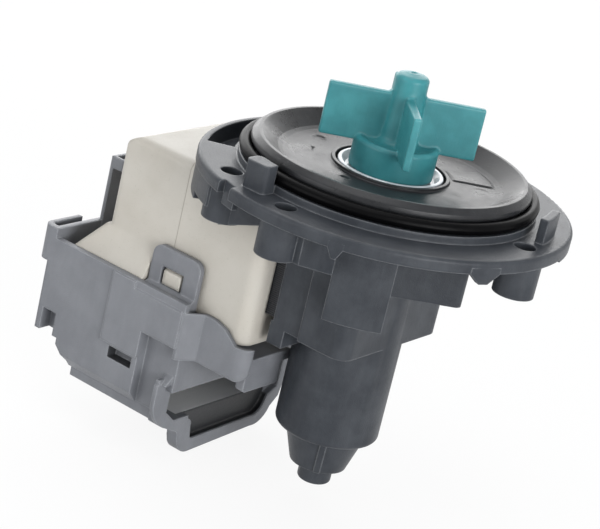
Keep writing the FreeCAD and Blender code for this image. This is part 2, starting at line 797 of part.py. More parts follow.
def impeller():
    """Four straight blades on a hub, whose skirt holds the lost-motion clutch."""
    root_x = knob_radius + impeller_root_round
    root_top = blade_zone_high + impeller_root_round
    root_low = blade_zone_high - impeller_root_round
    knob_middle = (knob_shoulder + knob_edge) / 2 + knob_bulge
    crest_far = 1 - math.sqrt(0.5)
    crest_middle = (skirt_outer_radius - skirt_crest_inset * crest_far,
                    skirt_crest - (skirt_crest - skirt_side_top) * crest_far)
    profile = [
        (0, skirt_foot), (skirt_outer_radius, skirt_foot), (skirt_outer_radius, skirt_side_top),
        crest_middle + (skirt_crest_radius, skirt_crest),
        (hub_dish_radius, hub_dish_z),
        (post_radius + hub_sweep, hub_dish_z + hub_sweep, post_radius, post_low),
        (post_radius, root_low), (knob_radius, root_top), (knob_radius, knob_shoulder),
        (knob_radius - knob_bulge, knob_middle, knob_top_radius, knob_edge), (0, knob_top),
    ]
    hub = turned(profile)
    half = impeller_blade_thickness / 2
    outline = round_rectangle(0, impeller_blade_radius, blade_zone_low, blade_zone_high,
                              (0, impeller_corner_round, impeller_corner_round, 0))
    sweep = impeller_root_round * math.sqrt(0.5)
    root = [(0, root_low), (root_x, root_low), (root_x, blade_zone_high),
            (root_x - sweep, root_top - sweep, knob_radius, root_top), (0, root_top)]
    blades = []
    for step in range(impeller_blade_count):
        azimuth = impeller_blade_azimuth + 360.0 / impeller_blade_count * step
        blades.append(moved_round(prism_y(outline, -half, half), azimuth))
        blades.append(moved_round(prism_y(root, -half, half), azimuth))
    body = hub.fuse(blades)
    chamber = disc(chamber_radius, skirt_foot - cut_over, chamber_high)
    bore = disc(shaft_radius + running_gap, skirt_foot, pilot_bore_high)
    dimple = disc(knob_dimple_radius, knob_top - knob_dimple_depth, knob_top + cut_over)
    stop_angles = (180 - stop_half_angle, 180 + stop_half_angle)
    stop = sector(stop_inner_radius, chamber_radius + running_gap, stop_angles, chamber_low, chamber_high)
    return body.cut([chamber, bore, dimple]).fuse(stop).removeSplitter()


def clutch_damper():
    """Rubber saddle over the stop in the impeller's hub."""
    half = stop_half_angle + damper_wrap_angle
    low = chamber_low + slip_gap
    high = chamber_high - slip_gap
    whole = sector(damper_inner_radius, chamber_radius - slip_gap, (180 - half, 180 + half), low, high)
    stop = sector(stop_inner_radius - running_gap, chamber_radius + cut_over,
                  (180 - stop_half_angle, 180 + stop_half_angle), low - cut_over, high + cut_over)
    return whole.cut(stop)


def clutch_cover():
    """Disc pressed into the skirt's foot, which shuts the clutch chamber."""
    return ring(chamber_radius - running_gap / 2, shaft_radius + running_gap, clutch_cover_low, chamber_low)


def drive_dog():
    """Dog pressed on the shaft, which pushes the impeller round after some free turn."""
    hub = disc(dog_hub_radius, dog_low, dog_high)
    dog = sector(dog_hub_radius / 2, dog_radius, (-dog_half_angle, dog_half_angle), dog_low, dog_high)
    return hub.fuse(dog).cut(disc(shaft_radius, dog_low, dog_high)).removeSplitter()


def rivet_places():
    middle = (yoke_low_x + yoke_high_x) / 2
    return [(middle, rivet_spacing * step) for step in (-1, 0, 1)]


def stator_core():
    """U-shaped stack of laminations, whose two legs reach round the rotor can."""
    yoke = block(yoke_low_x, yoke_high_x, -leg_outer_y, leg_outer_y, stack_low, stack_high)
    leg = block(yoke_high_x, leg_end_x, leg_inner_y, leg_outer_y, stack_low, stack_high)
    cuts = [disc(pole_arc_radius, stack_low, stack_high)]
    for x, y in rivet_places():
        cuts.append(disc(rivet_radius + running_gap, stack_low, stack_high, x, y))
    return yoke.fuse([leg, mirrored_y(leg)]).cut(cuts).removeSplitter()


def core_rivets():
    rivets = []
    for x, y in rivet_places():
        shank = disc(rivet_radius, stack_low - rivet_head_height, stack_high + rivet_head_height, x, y)
        low_head = disc(rivet_head_radius, stack_low - rivet_head_height, stack_low, x, y)
        high_head = disc(rivet_head_radius, stack_high, stack_high + rivet_head_height, x, y)
        rivets.append(joined(shank, low_head, high_head))
    return Part.makeCompound(rivets)


def leg_tube(half_y, half_z, x_low, x_high, size):
    """Rounded block round the rear leg's middle line."""
    outline = round_rectangle(leg_middle_y - half_y, leg_middle_y + half_y, stack_middle - half_z,
                              stack_middle + half_z, (size,) * 4)
    return prism_x(outline, x_low, x_high)


def bobbin():
    """Coil former round one leg of the core."""
    tube_half_y = bobbin_inner_half_y + bobbin_wall
    tube_half_z = bobbin_inner_half_z + bobbin_wall
    tube = leg_tube(tube_half_y, tube_half_z, bobbin_low_x, bobbin_high_x, bobbin_wall / 2)
    ends = []
    for x in (bobbin_low_x, bobbin_high_x - bobbin_flange_wall):
        ends.append(leg_tube(bobbin_outer_half_y, bobbin_outer_half_z, x, x + bobbin_flange_wall,
                             winding_round))
    room = leg_tube(bobbin_inner_half_y, bobbin_inner_half_z, bobbin_low_x, bobbin_high_x, 0)
    return tube.fuse(ends).cut(room).removeSplitter()


def winding():
    """Coil of wire on one bobbin, with its wrapping."""
    low = bobbin_low_x + bobbin_flange_wall + slip_gap
    high = bobbin_high_x - bobbin_flange_wall - slip_gap
    outer = leg_tube(bobbin_outer_half_y - winding_inset, bobbin_outer_half_z - winding_inset, low, high,
                     winding_round)
    inner = leg_tube(bobbin_inner_half_y + bobbin_wall + running_gap,
                     bobbin_inner_half_z + bobbin_wall + running_gap, low, high, bobbin_wall / 2)
    return outer.cut(inner)


def thermal_cutout():
    """Switch that lies between the two windings."""
    half = leg_middle_y - bobbin_outer_half_y + winding_inset - seat_gap
    outline = round_rectangle(cutout_low_x, cutout_low_x + cutout_length, -half, half, (cutout_round,) * 4)
    return prism_z(outline, cutout_low_z, cutout_low_z + cutout_height)


def cover_block(inset, top_round, edge_round, front_round):
    """Coil cover's main block, or the room inside it when inset by its wall."""
    x_low = cover_low_x + inset
    x_high = cover_high_x - inset
    half = cover_half_width - inset
    top = cover_top - inset
    bottom = cover_bottom + inset
    side = prism_y(round_rectangle(x_low, x_high, bottom, top, (0, 0, edge_round, top_round)), -half, half)
    plan = prism_z(round_rectangle(x_low, x_high, -half, half,
                                   (edge_round, front_round, front_round, edge_round)), bottom, top)
    end = prism_x(round_rectangle(-half, half, bottom, top, (0, 0, edge_round, edge_round)), x_low, x_high)
    return side.common(plan).common(end)


def cover_flare():
    """Foot of the coil cover, which widens into the shroud."""
    wires = []
    top = (cover_low_x, cover_half_width, flare_top)
    foot = (flare_low_x, flare_half_width, flare_bottom)
    for x, half, z in (top, foot):
        corners = [vec(x, -half, z), vec(flare_high_x, -half, z),
                   vec(flare_high_x, half, z), vec(x, half, z)]
        wires.append(Part.makePolygon(corners + corners[:1]))
    slope = Part.makeLoft(wires, True, True)
    band = block(flare_low_x, flare_high_x, -flare_half_width, flare_half_width, cover_bottom, flare_bottom)
    return slope.fuse(band)


def coil_cover():
    """Moulded block round both coils."""
    outer = cover_block(0, cover_top_round, cover_edge_round, cover_front_round)
    room = cover_block(cover_wall, cover_top_round - cover_wall, cover_edge_round / 2, cover_room_round)
    root_y = -cover_half_width + cover_wall / 2
    tip_y = -cover_half_width - catch_stand
    catch_outline = [(root_y, catch_top), (-cover_half_width, catch_top), (tip_y, catch_top - catch_lead),
                     (tip_y, catch_bottom), (root_y, catch_bottom)]
    catch = prism_x(catch_outline, catch_low_x, catch_low_x + catch_length)
    rear_catch = mirrored_y(catch)
    legs = block(cover_high_x - cover_wall - cut_over, cover_high_x + cut_over, leg_inner_y - seat_gap,
                 leg_outer_y + seat_gap, core_room_low, core_room_high)
    cuts = [room, legs, mirrored_y(legs)]
    for y in blade_rows():
        cuts.append(block(blade_x - slip_gap, blade_x + blade_thickness + slip_gap,
                          y - blade_width / 2 - slip_gap, y + blade_width / 2 + slip_gap,
                          cover_bottom - cut_over, cover_bottom + cover_wall + cut_over))
    return outer.fuse([cover_flare(), catch, rear_catch]).cut(cuts).removeSplitter()


def blade_rows():
    first = -blade_pitch * (blade_count - 1) / 2
    return [first + blade_pitch * step for step in range(blade_count)]


def terminal_blade(y):
    """Flat terminal that comes down from the coils and turns into the plug inlet."""
    upright = block(blade_x, blade_x + blade_thickness, y - blade_width / 2, y + blade_width / 2,
                    blade_z - blade_thickness / 2, cover_bottom + blade_root_depth)
    tongue = block(blade_x, blade_tip_x, y - blade_width / 2, y + blade_width / 2,
                   blade_z - blade_thickness / 2, blade_z + blade_thickness / 2)
    return joined(upright, tongue)


def terminal_carrier():
    """Block that holds the terminals in the shroud."""
    body = block(carrier_block_low_x, carrier_block_high_x, -carrier_block_half_width,
                 carrier_block_half_width, ceiling_z, cover_bottom - slip_gap)
    slots = []
    for y in blade_rows():
        slots.append(block(blade_x - running_gap, blade_x + blade_thickness + running_gap,
                           y - blade_width / 2 - running_gap, y + blade_width / 2 + running_gap,
                           ceiling_z - cut_over, cover_bottom))
    return body.cut(slots)


def tray():
    """Walls of the shroud round the coil cover's foot."""
    inner_front = shroud_front_y + shroud_side_wall
    front = block(shroud_low_x, tray_end_x, shroud_front_y, inner_front, tray_bottom, shroud_top)
    rear = mirrored_y(front)
    side = block(shroud_low_x, shroud_low_x + shroud_wall, shroud_front_y, shroud_rear_y,
                 tray_bottom, shroud_top)
    floor = block(shroud_low_x, plug_low_x + plug_wall, shroud_front_y, shroud_rear_y,
                  tray_bottom, tray_bottom + shroud_wall)
    rear_floor = block(shroud_low_x, tray_end_x, plug_rear_y - plug_wall, shroud_rear_y,
                       tray_bottom, tray_bottom + shroud_wall)
    end = block(plug_face_x - plug_face_wall, plug_face_x, shroud_front_y + shroud_side_wall / 2,
                shroud_rear_y - shroud_side_wall / 2, tray_bottom, deck_top)
    plug_end = block(plug_face_x - plug_face_wall, plug_face_x, shroud_front_y + shroud_side_wall / 2,
                     plug_rear_y, ceiling_z, tray_bottom)
    ledge_high = cover_bottom - seat_gap
    ledge = block(shroud_low_x + shroud_wall / 2, flare_high_x, inner_front - shroud_side_wall / 2,
                  inner_front + ledge_width, ledge_high - ledge_wall, ledge_high)
    return front.fuse([rear, side, floor, rear_floor, end, plug_end, ledge, mirrored_y(ledge)])


def plug_housing():
    """Hollow body of the plug inlet, with its deeper rim at the mouth."""
    top = tray_bottom + shroud_wall
    body_profile = [
        (shroud_front_y, top), (shroud_front_y, bevel_z), (lip_y - lip_step, lip_top_z),
        (lip_y, lip_top_z), (lip_y, lip_bottom_z), (plug_floor_front_y, plug_floor_z),
        (plug_rear_y - plug_rear_bevel, plug_floor_z), (plug_rear_y, plug_floor_z + plug_rear_bevel),
        (plug_rear_y, top),
    ]
    side_profile = [
        (plug_low_x, top), (plug_low_x, corner_high_z), (corner_x, corner_low_z), (corner_x, plug_floor_z),
        (plug_high_x, plug_floor_z), (plug_high_x, top),
    ]
    body = prism_x(body_profile, plug_low_x, plug_high_x)
    body = body.common(prism_y(side_profile, shroud_front_y, plug_rear_y))
    mouth_top = ceiling_z + ceiling_wall
    mouth_profile = [(plug_rear_y, mouth_top), (shroud_front_y - mouth_stand, mouth_top)]
    mouth_profile += [(shroud_front_y - mouth_stand, bevel_z)] + list(mouth_rim)
    mouth = prism_x(mouth_profile, mouth_low_x, plug_high_x)
    return body.fuse(mouth)


def plug_room():
    """Space that the plug goes into, and the hollow above its ceiling."""
    inner_front = shroud_front_y + plug_front_wall
    floor = plug_floor_z + plug_wall
    inner_rear = plug_rear_y - plug_wall
    room_outline = [(inner_front, ceiling_z), (inner_front, lip_top_z), (plug_floor_front_y, floor),
                    (inner_rear - plug_wall, floor), (inner_rear, floor + plug_wall), (inner_rear, ceiling_z)]
    cavity = prism_x(room_outline, plug_low_x + plug_end_wall, plug_high_x + cut_over)
    mouth_outline = [(mouth_opening[0][0], lip_top_z)] + list(mouth_opening)
    mouth_outline += [(inner_rear, lip_bottom_z), (inner_rear, lip_top_z)]
    mouth = prism_x(mouth_outline, mouth_low_x + mouth_back_wall, plug_high_x + cut_over)
    hollow = block(plug_low_x + plug_wall, plug_face_x - plug_face_wall, inner_front, inner_rear,
                   ceiling_z + ceiling_wall, tray_bottom + shroud_wall + cut_over)
    return [cavity, mouth, hollow]


def carrier_well():
    """Upright box in the shroud that the terminal carrier stands in."""
    low = carrier_block_low_x - slip_gap
    high = carrier_block_high_x + slip_gap
    half = carrier_block_half_width + slip_gap
    top = tray_bottom + shroud_wall
    outer = block(low - well_wall, high + well_wall, -half - well_wall, half + well_wall, ceiling_z, top)
    room = block(low, high, -half, half, ceiling_z - cut_over, top + cut_over)
    return outer, room


def latch():
    """Tongue with a window that snaps over the coil cover's catch."""
    inner_y = latch_outer_y + latch_wall
    rounds = (0, 0, latch_corner_round, latch_corner_round)
    tongue = prism_y(round_rectangle(latch_low_x, latch_high_x, latch_foot, latch_top, rounds),
                     latch_outer_y, inner_y)
    raised_y = shroud_front_y - raised_stand
    foot_outline = [(inner_y, window_bottom), (latch_outer_y, window_bottom),
                    (raised_y, shroud_top - latch_slope), (raised_y, latch_foot), (inner_y, latch_foot)]
    foot = prism_x(foot_outline, latch_low_x, latch_high_x)
    window = block(window_low_x, window_high_x, latch_outer_y - cut_over, inner_y + cut_over,
                   window_bottom, window_top)
    return tongue.fuse(foot).cut(window)


def wing():
    """Cheek at the right end of the shroud, with the deck and arm under the coil cover."""
    inner = wing_y + wing_wall
    inner_front = shroud_front_y + shroud_side_wall
    curl_x = wing_end_x - wing_curl
    curl_y = wing_y + wing_curl
    slant = math.sqrt(0.5)
    outer_mid = (curl_x + wing_curl * slant, curl_y - wing_curl * slant)
    inner_curl = wing_curl - wing_wall
    inner_mid = (curl_x + inner_curl * slant, curl_y - inner_curl * slant)
    plan = [(tray_end_x - cut_over, shroud_front_y), (tray_end_x, shroud_front_y), (wing_bend_x, wing_y),
            (curl_x, wing_y), outer_mid + (wing_end_x, curl_y), (wing_end_x - wing_wall, curl_y),
            inner_mid + (curl_x, inner), (wing_bend_x, inner), (tray_end_x, inner_front),
            (tray_end_x - cut_over, inner_front)]
    wing_foot = wing_outline[0][1]
    wing_top = wing_outline[-1][1]
    cheek = prism_z(plan, wing_foot, wing_top)
    low_x = tray_end_x - cut_over
    front_view = [(low_x, wing_foot)] + list(wing_outline) + [(low_x, wing_top)]
    cheek = cheek.common(prism_y(front_view, shroud_front_y - cut_over, curl_y + cut_over))
    deck_low_x = plug_face_x - plug_face_wall
    arm_low_x = deck_end_x - arm_wall
    deck = block(deck_low_x, deck_end_x, wing_y + wing_wall / 2, deck_rear_y, deck_top - deck_wall, deck_top)
    end_outline = round_rectangle(deck_front_y, deck_rear_y, arm_bottom, deck_top,
                                  (arm_round, arm_round, 0, 0))
    end = prism_x(end_outline, arm_low_x, deck_end_x)
    tip = block(arm_low_x, deck_end_x, deck_rear_y, deck_rear_y + arm_tip, arm_tip_bottom, deck_top)
    corner = block(arm_low_x - cut_over, deck_end_x + cut_over, wing_y, deck_front_y,
                   deck_top - deck_wall - cut_over, deck_top + cut_over)
    return cheek.fuse([deck.cut(corner), end, tip])


def side_hook():
    """Small channel below the left end of the tray."""
    x_high = shroud_low_x + side_hook_length
    outer = block(shroud_low_x, x_high + side_hook_wall, shroud_front_y, shroud_front_y + plug_front_wall,
                  side_hook_bottom, tray_bottom + shroud_wall / 2)
    room = block(shroud_low_x + side_hook_wall, x_high - side_hook_wall, shroud_front_y - cut_over,
                 shroud_front_y + plug_front_wall - side_hook_wall, side_hook_bottom - cut_over,
                 tray_bottom - side_hook_top_wall)
    return outer.cut(room)


def strap():
    """Outer strap at the tray's left front corner, open towards the rear."""
    high_x = shroud_low_x + shroud_wall
    outline = round_rectangle(strap_low_x, high_x, shroud_front_y, strap_rear_y, (strap_corner, 0, 0, 0))
    outer = prism_z(outline, strap_bottom, strap_top)
    room_outline = round_rectangle(strap_low_x + strap_wall, shroud_low_x, shroud_front_y + shroud_side_wall,
                                   strap_rear_y + cut_over, (strap_corner - strap_wall, 0, 0, 0))
    outer = outer.cut(prism_z(room_outline, strap_bottom + strap_wall, strap_top + cut_over))
    inner = block(shroud_low_x, high_x, strap_rear_y - cut_over, strap_wall - mast_half_width,
                  strap_bottom, strap_top)
    return outer.fuse(inner)


def mast():
    """Tall tongue that stands on the tray's left wall behind the coil cover, with an eye at its top."""
    x_high = mast_low_x + mast_wall
    plate = block(mast_low_x, x_high, -mast_half_width, mast_half_width, tray_bottom, mast_top)
    eye = block(mast_low_x, x_high + mast_eye, -mast_half_width, mast_eye_length - mast_half_width,
                mast_top - mast_eye, mast_top)
    room = block(x_high, x_high + mast_eye - mast_wall, mast_wall - mast_half_width,
                 mast_eye_length - mast_wall - mast_half_width, mast_top - mast_eye + mast_wall,
                 mast_top + cut_over)
    return plate.fuse(eye).cut(room)


def front_features():
    """Raised panel on the shroud's front, and the back of its open channel."""
    left_top = shroud_top - raised_top_gap
    right_top = shroud_top - latch_slope
    outline = [(raised_low_x, raised_left_bottom), (channel_low_x, raised_left_bottom),
               (channel_low_x, raised_bottom), (raised_high_x, raised_bottom), (raised_high_x, right_top),
               (latch_low_x, right_top), (latch_low_x, left_top), (raised_low_x, left_top)]
    raised = prism_y(outline, shroud_front_y - raised_stand, shroud_front_y + shroud_side_wall / 2)
    back_y = shroud_front_y + channel_depth
    low_x = channel_low_x - channel_back_wall
    root_y = shroud_front_y + shroud_side_wall / 2
    high_z = channel_top + channel_back_wall
    back = block(low_x, plug_face_x, back_y, back_y + channel_back_wall, ceiling_z + ceiling_wall / 2, high_z)
    left = block(low_x, channel_low_x, root_y, back_y, ceiling_z, high_z)
    roof = block(low_x, plug_face_x, root_y, back_y, channel_top, high_z)
    return [raised, back, left, roof]


def channel_room():
    """Space of the open channel, and the nib in it. The thin flange of the mouth stays beside it."""
    back_y = shroud_front_y + channel_depth
    room = block(channel_low_x, plug_face_x + cut_over, shroud_front_y - cut_over * 2, back_y,
                 plug_floor_z, channel_top)
    flange = block(plug_high_x - mouth_flange_wall, plug_high_x, shroud_front_y - cut_over * 3,
                   back_y + cut_over, plug_floor_z - cut_over, mouth_flange_top)
    room = room.cut(flange)
    nib_high = plug_face_x - channel_nib_inset
    nib = prism_x([(back_y, channel_nib_z), (back_y - channel_nib, channel_nib_z - channel_nib),
                   (back_y, channel_nib_z - channel_nib)], nib_high - channel_nib, nib_high)
    return room, nib


def connector_shroud():
    """Shroud that clips under the coil cover and holds the plug inlet."""
    well, well_room = carrier_well()
    channel, nib = channel_room()
    slot = block(slot_low_x, slot_high_x, shroud_front_y - cut_over, shroud_front_y + slot_depth,
                 slot_bottom, slot_top)
    body = tray().fuse(plug_housing()).cut(plug_room())
    body = body.fuse([well] + front_features()).cut([well_room, channel, slot])
    return body.fuse([latch(), wing(), side_hook(), strap(), mast(), nib]).removeSplitter()


def main():
    os.makedirs(PARTS, exist_ok=True)
    save("flange_housing", flange_housing())
    save("face_plate", face_plate())
    save("face_plate_seal", face_plate_seal())
    save("bearing_carrier", bearing_carrier())
    save("carrier_seal", carrier_seal())
    save("front_bearing", bearing_bush(front_bearing_low))
    save("front_bearing_mount", bearing_mount(front_bearing_low))
    save("rear_bearing", bearing_bush(rear_bearing_low))
    save("rear_bearing_mount", bearing_mount(rear_bearing_low))
    save("front_thrust_washer", thrust_washer(front_washer_low))
    save("rear_thrust_washer", thrust_washer(rear_washer_low))
    save("rotor_shaft", rotor_shaft())
    save("rotor_magnet", rotor_magnet())
    save("magnet_carrier", magnet_carrier())
    save("bearing_shield", bearing_shield())
    save("impeller", impeller())
    save("clutch_damper", clutch_damper())
    save("clutch_cover", clutch_cover())
    save("drive_dog", drive_dog())
    save("stator_core", stator_core())
    save("core_rivets", core_rivets())
    rear_bobbin = bobbin()
    rear_winding = winding()
    save("rear_bobbin", rear_bobbin)
    save("front_bobbin", mirrored_y(rear_bobbin))
    save("rear_winding", rear_winding)
    save("front_winding", mirrored_y(rear_winding))
    save("thermal_cutout", thermal_cutout())
    save("coil_cover", coil_cover())
    save("terminal_carrier", terminal_carrier())
    for number, y in enumerate(blade_rows(), start=1):
        save("terminal_blade_" + str(number), terminal_blade(y))
    save("connector_shroud", connector_shroud())


main()
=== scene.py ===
import math

import bmesh
import bpy
import numpy as np
from mathutils import Matrix, Vector


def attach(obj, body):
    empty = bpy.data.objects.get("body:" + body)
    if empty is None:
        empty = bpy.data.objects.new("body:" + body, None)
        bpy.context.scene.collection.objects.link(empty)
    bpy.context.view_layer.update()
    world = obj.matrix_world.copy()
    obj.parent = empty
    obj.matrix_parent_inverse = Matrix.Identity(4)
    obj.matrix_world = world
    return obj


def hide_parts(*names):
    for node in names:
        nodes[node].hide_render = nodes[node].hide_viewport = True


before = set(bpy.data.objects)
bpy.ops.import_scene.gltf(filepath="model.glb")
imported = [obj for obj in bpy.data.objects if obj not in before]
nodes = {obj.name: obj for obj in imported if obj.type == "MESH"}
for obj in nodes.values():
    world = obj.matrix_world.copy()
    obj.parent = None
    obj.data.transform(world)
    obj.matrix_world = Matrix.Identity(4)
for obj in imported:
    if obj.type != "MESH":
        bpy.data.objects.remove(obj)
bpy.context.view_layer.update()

mm = 0.001  # sizes below are in millimetres; k is a piece's or a finish's dictionary, s the nodes of a finish
print("frame loaded:", len(nodes), "nodes")


class Val:
    # one number in a material; arithmetic on it adds Math nodes
    def __init__(self, shade, out):
        self.shade, self.out = shade, out

    def __add__(self, other):
        return self.shade.sums("ADD", self, other)

    def __sub__(self, other):
        return self.shade.sums("SUBTRACT", self, other)

    def __rsub__(self, other):
        return self.shade.sums("SUBTRACT", other, self)

    def __mul__(self, other):
        return self.shade.sums("MULTIPLY", self, other)

    __radd__ = __add__
    __rmul__ = __mul__


class Shade:
    # the nodes of one material, or of the world where one is given
    def __init__(self, name, world=None):
        self.owner = world or bpy.data.materials.new(name)
        self.owner.use_nodes = True
        self.tree = self.owner.node_tree
        self.tree.nodes.clear()
        self.end = self.node("ShaderNodeOutputWorld" if world else "ShaderNodeOutputMaterial")

    def node(self, kind, settings=None, **sockets):
        # any node: its settings first, then the values or links of its sockets, by name or as n0, n1 ...
        made = self.tree.nodes.new(kind)
        for key, value in (settings or {}).items():
            setattr(made, key, value)
        for key, value in sockets.items():
            number = key[1:]
            socket = made.inputs[int(number) if number.isdigit() else key.replace("_", " ")]
            self.feed(socket, value)
        return made

    def feed(self, socket, value):
        value = value.out if isinstance(value, Val) else value
        if isinstance(value, bpy.types.NodeSocket):
            self.tree.links.new(value, socket)
        else:
            socket.default_value = value

    def sums(self, operation, *values):
        settings = {"operation": operation}
        made = self.node("ShaderNodeMath", settings, **{f"n{i}": v for i, v in enumerate(values)})
        return Val(self, made.outputs[0])

    def place(self):
        return self.node("ShaderNodeTexCoord").outputs["Object"]

    def axis(self, letter):
        split = self.node("ShaderNodeSeparateXYZ", Vector=self.place())
        return Val(self, split.outputs[letter])

    def noise(self, size, detail, rough=0.5, warp=0.0, stretch=None):
        # noise whose blobs are about size millimetres across, drawn out where stretch is below 1
        at = self.place()
        if stretch:
            at = self.node("ShaderNodeMapping", Vector=at, Scale=stretch).outputs[0]
        made = self.node("ShaderNodeTexNoise", Vector=at, Scale=1.0 / (size * mm), Detail=detail,
                         Roughness=rough, Distortion=warp)
        return Val(self, made.outputs[0])

    def between(self, value, low, high, outLow=0.0, outHigh=1.0):
        # eased step: outLow up to low, outHigh from high on
        made = self.node("ShaderNodeMapRange", {"interpolation_type": "SMOOTHSTEP"}, Value=value,
                         From_Min=low, From_Max=high, To_Min=outLow, To_Max=outHigh)
        return Val(self, made.outputs[0])

    def fade(self, letter, low, high, outLow=0.0, outHigh=1.0):
        # the same step along an axis, between two places in millimetres
        return self.between(self.axis(letter), low * mm, high * mm, outLow, outHigh)

    def blend(self, amount, first, second):
        made = self.node("ShaderNodeMix", {"data_type": "RGBA"}, n0=amount, n6=first, n7=second)
        return made.outputs[2]

    def rounded(self, radius, samples=8):
        # surface normal with sharp edges rounded off by a radius in millimetres
        return self.node("ShaderNodeBevel", {"samples": samples}, Radius=radius * mm).outputs[0]

    def edges(self, width):
        # 1 on sharp outer and inner edges: how far a rounded normal turns from the true one
        flat = self.node("ShaderNodeNewGeometry").outputs["Normal"]
        dot = {"operation": "DOT_PRODUCT"}
        turn = self.node("ShaderNodeVectorMath", dot, n0=self.rounded(width, samples=6), n1=flat)
        faintest, sharpest = 0.012, 0.2
        return self.between(1 - Val(self, turn.outputs["Value"]), faintest, sharpest)

    def within(self, box, margin):
        # 1 inside a box given as low and high per axis, falling to 0 over a margin outside it
        share = 1.0
        for letter, (low, high) in zip("XYZ", box):
            share = share * self.fade(letter, low - margin, low)
            share = share * self.fade(letter, high, high + margin, 1.0, 0.0)
        return share

    def stroke(self, start, end, width):
        # 1 on a short straight line on the flange's top, from start to end in millimetres
        length = math.dist(start, end)
        wayX, wayY = (end[0] - start[0]) / length, (end[1] - start[1]) / length
        x = self.axis("X") - start[0] * mm
        y = self.axis("Y") - start[1] * mm
        along = x * wayX + y * wayY
        aside = self.sums("ABSOLUTE", y * wayX - x * wayY)
        ends, solidShare = 0.3, 0.3  # millimetres of fade at either end, and share of the width that is full
        on = self.between(along, 0.0, ends * mm)
        on = on * self.between(along, (length - ends) * mm, length * mm, 1.0, 0.0)
        on = on * self.between(aside, width * solidShare * mm, width * mm, 1.0, 0.0)
        return on * self.fade("Z", -1.0, 0.0)

    def bump(self, height, depth, normal=None):
        sockets = {"Height": height, "Distance": depth * mm, "Strength": 1.0}
        if normal is not None:
            sockets["Normal"] = normal
        return self.node("ShaderNodeBump", **sockets).outputs[0]

    def show(self, shader):
        self.feed(self.end.inputs["Surface"], shader.outputs[0])

    def backdrop(self, dull, kind, share):
        # a dull shader for bounced light, and plain white by its share for the rays that show a background
        rays = self.node("ShaderNodeLightPath").outputs
        seen = self.sums("MAXIMUM", rays["Is Camera Ray"], rays["Is Glossy Ray"])
        seen = self.sums("MAXIMUM", seen, rays["Is Transmission Ray"])
        white = self.node(kind, Color=(1.0, 1.0, 1.0, 1.0), Strength=1.0)
        mix = self.node("ShaderNodeMixShader", Fac=seen * share, n1=dull.outputs[0], n2=white.outputs[0])
        self.show(mix)

    def finish(self, **sockets):
        self.show(self.node("ShaderNodeBsdfPrincipled", **sockets))
        return self.owner


def rgb(code):
    # sRGB hex to linear light
    levels = [int(code[i:i + 2], 16) / 255 for i in (0, 2, 4)]
    return tuple(v / 12.92 if v <= 0.04045 else ((v + 0.055) / 1.055) ** 2.4 for v in levels) + (1.0,)


def roundedProfile(corners, steps=5):
    # (r, z, round) corners; each inner one becomes an arc of that radius, or less where its runs are short
    points = np.array([c[:2] for c in corners], float)
    sizes = np.array([c[2] for c in corners], float)
    nearlyStraight, runShare = 0.02, 0.48
    out = [points[:1]]
    for before, here, after, size in zip(points, points[1:], points[2:], sizes[1:]):
        inRun, outRun = before - here, after - here
        inLong, outLong = np.linalg.norm(inRun), np.linalg.norm(outRun)
        inWay, outWay = inRun / inLong, outRun / outLong
        turn = math.acos(max(-1.0, min(1.0, float(inWay @ outWay))))
        if size <= 0 or turn > math.pi - nearlyStraight:
            out.append(here[None])
            continue
        back = min(size / math.tan(turn / 2), inLong * runShare, outLong * runShare)
        radius = back * math.tan(turn / 2)
        middle = here + (inWay + outWay) / np.linalg.norm(inWay + outWay) * radius / math.sin(turn / 2)
        first, last = here + inWay * back - middle, here + outWay * back - middle
        share = np.linspace(0, 1, steps)[:, None]
        sweep = math.pi - turn
        arc = (first * np.sin((1 - share) * sweep) + last * np.sin(share * sweep)) / math.sin(sweep)
        out.append(middle + arc)
    out.append(points[-1:])
    return np.concatenate(out)


def denser(profile, longest):
    # splits a profile's runs so that none is longer than the given length
    out = [profile[:1]]
    for first, last in zip(profile, profile[1:]):
        count = max(1, math.ceil(np.linalg.norm(last - first) / longest))
        out.append(first + (last - first) * (np.arange(1, count + 1) / count)[:, None])
    return np.concatenate(out)


def turnedPoints(profile, count):
    # a profile of (r, z) carried round the pump axis
    turn = np.linspace(0, 2 * math.pi, count, endpoint=False)[:, None]
    return np.stack([np.cos(turn) * profile[None, :, 0], np.sin(turn) * profile[None, :, 0],
                     np.broadcast_to(profile[None, :, 1], (count, len(profile)))], -1)


def swung(points, degrees):
    # points turned about the pump axis
    turn = math.radians(degrees)
    x, y, z = points[..., 0], points[..., 1], points[..., 2]
    cosine, sine = math.cos(turn), math.sin(turn)
    return np.stack([x * cosine - y * sine, x * sine + y * cosine, z], -1)


def gridPiece(name, points, wrapV=False, lids=False, sharpAngle=None):
    # quads over a (u, v) grid closed along u, and along v too, or with a flat lid at each end of v
    countU, countV = points.shape[:2]
    index = np.arange(countU * countV).reshape(countU, countV)
    ring = np.vstack([index, index[:1]])
    if wrapV:
        ring = np.hstack([ring, ring[:, :1]])
    quads = np.stack([ring[:-1, :-1], ring[1:, :-1], ring[1:, 1:], ring[:-1, 1:]], -1)
    faces = quads.reshape(-1, 4).tolist()
    if lids:
        faces += [index[:, 0].tolist(), index[::-1, -1].tolist()]
    mesh = bpy.data.meshes.new(name)
    mesh.from_pydata((points.reshape(-1, 3) * mm).tolist(), [], faces)
    cleanMesh(mesh, doubles=0.002, slivers=0.001)
    if sharpAngle:
        mesh.set_sharp_from_angle(angle=math.radians(sharpAngle))
    return linked(name, mesh)


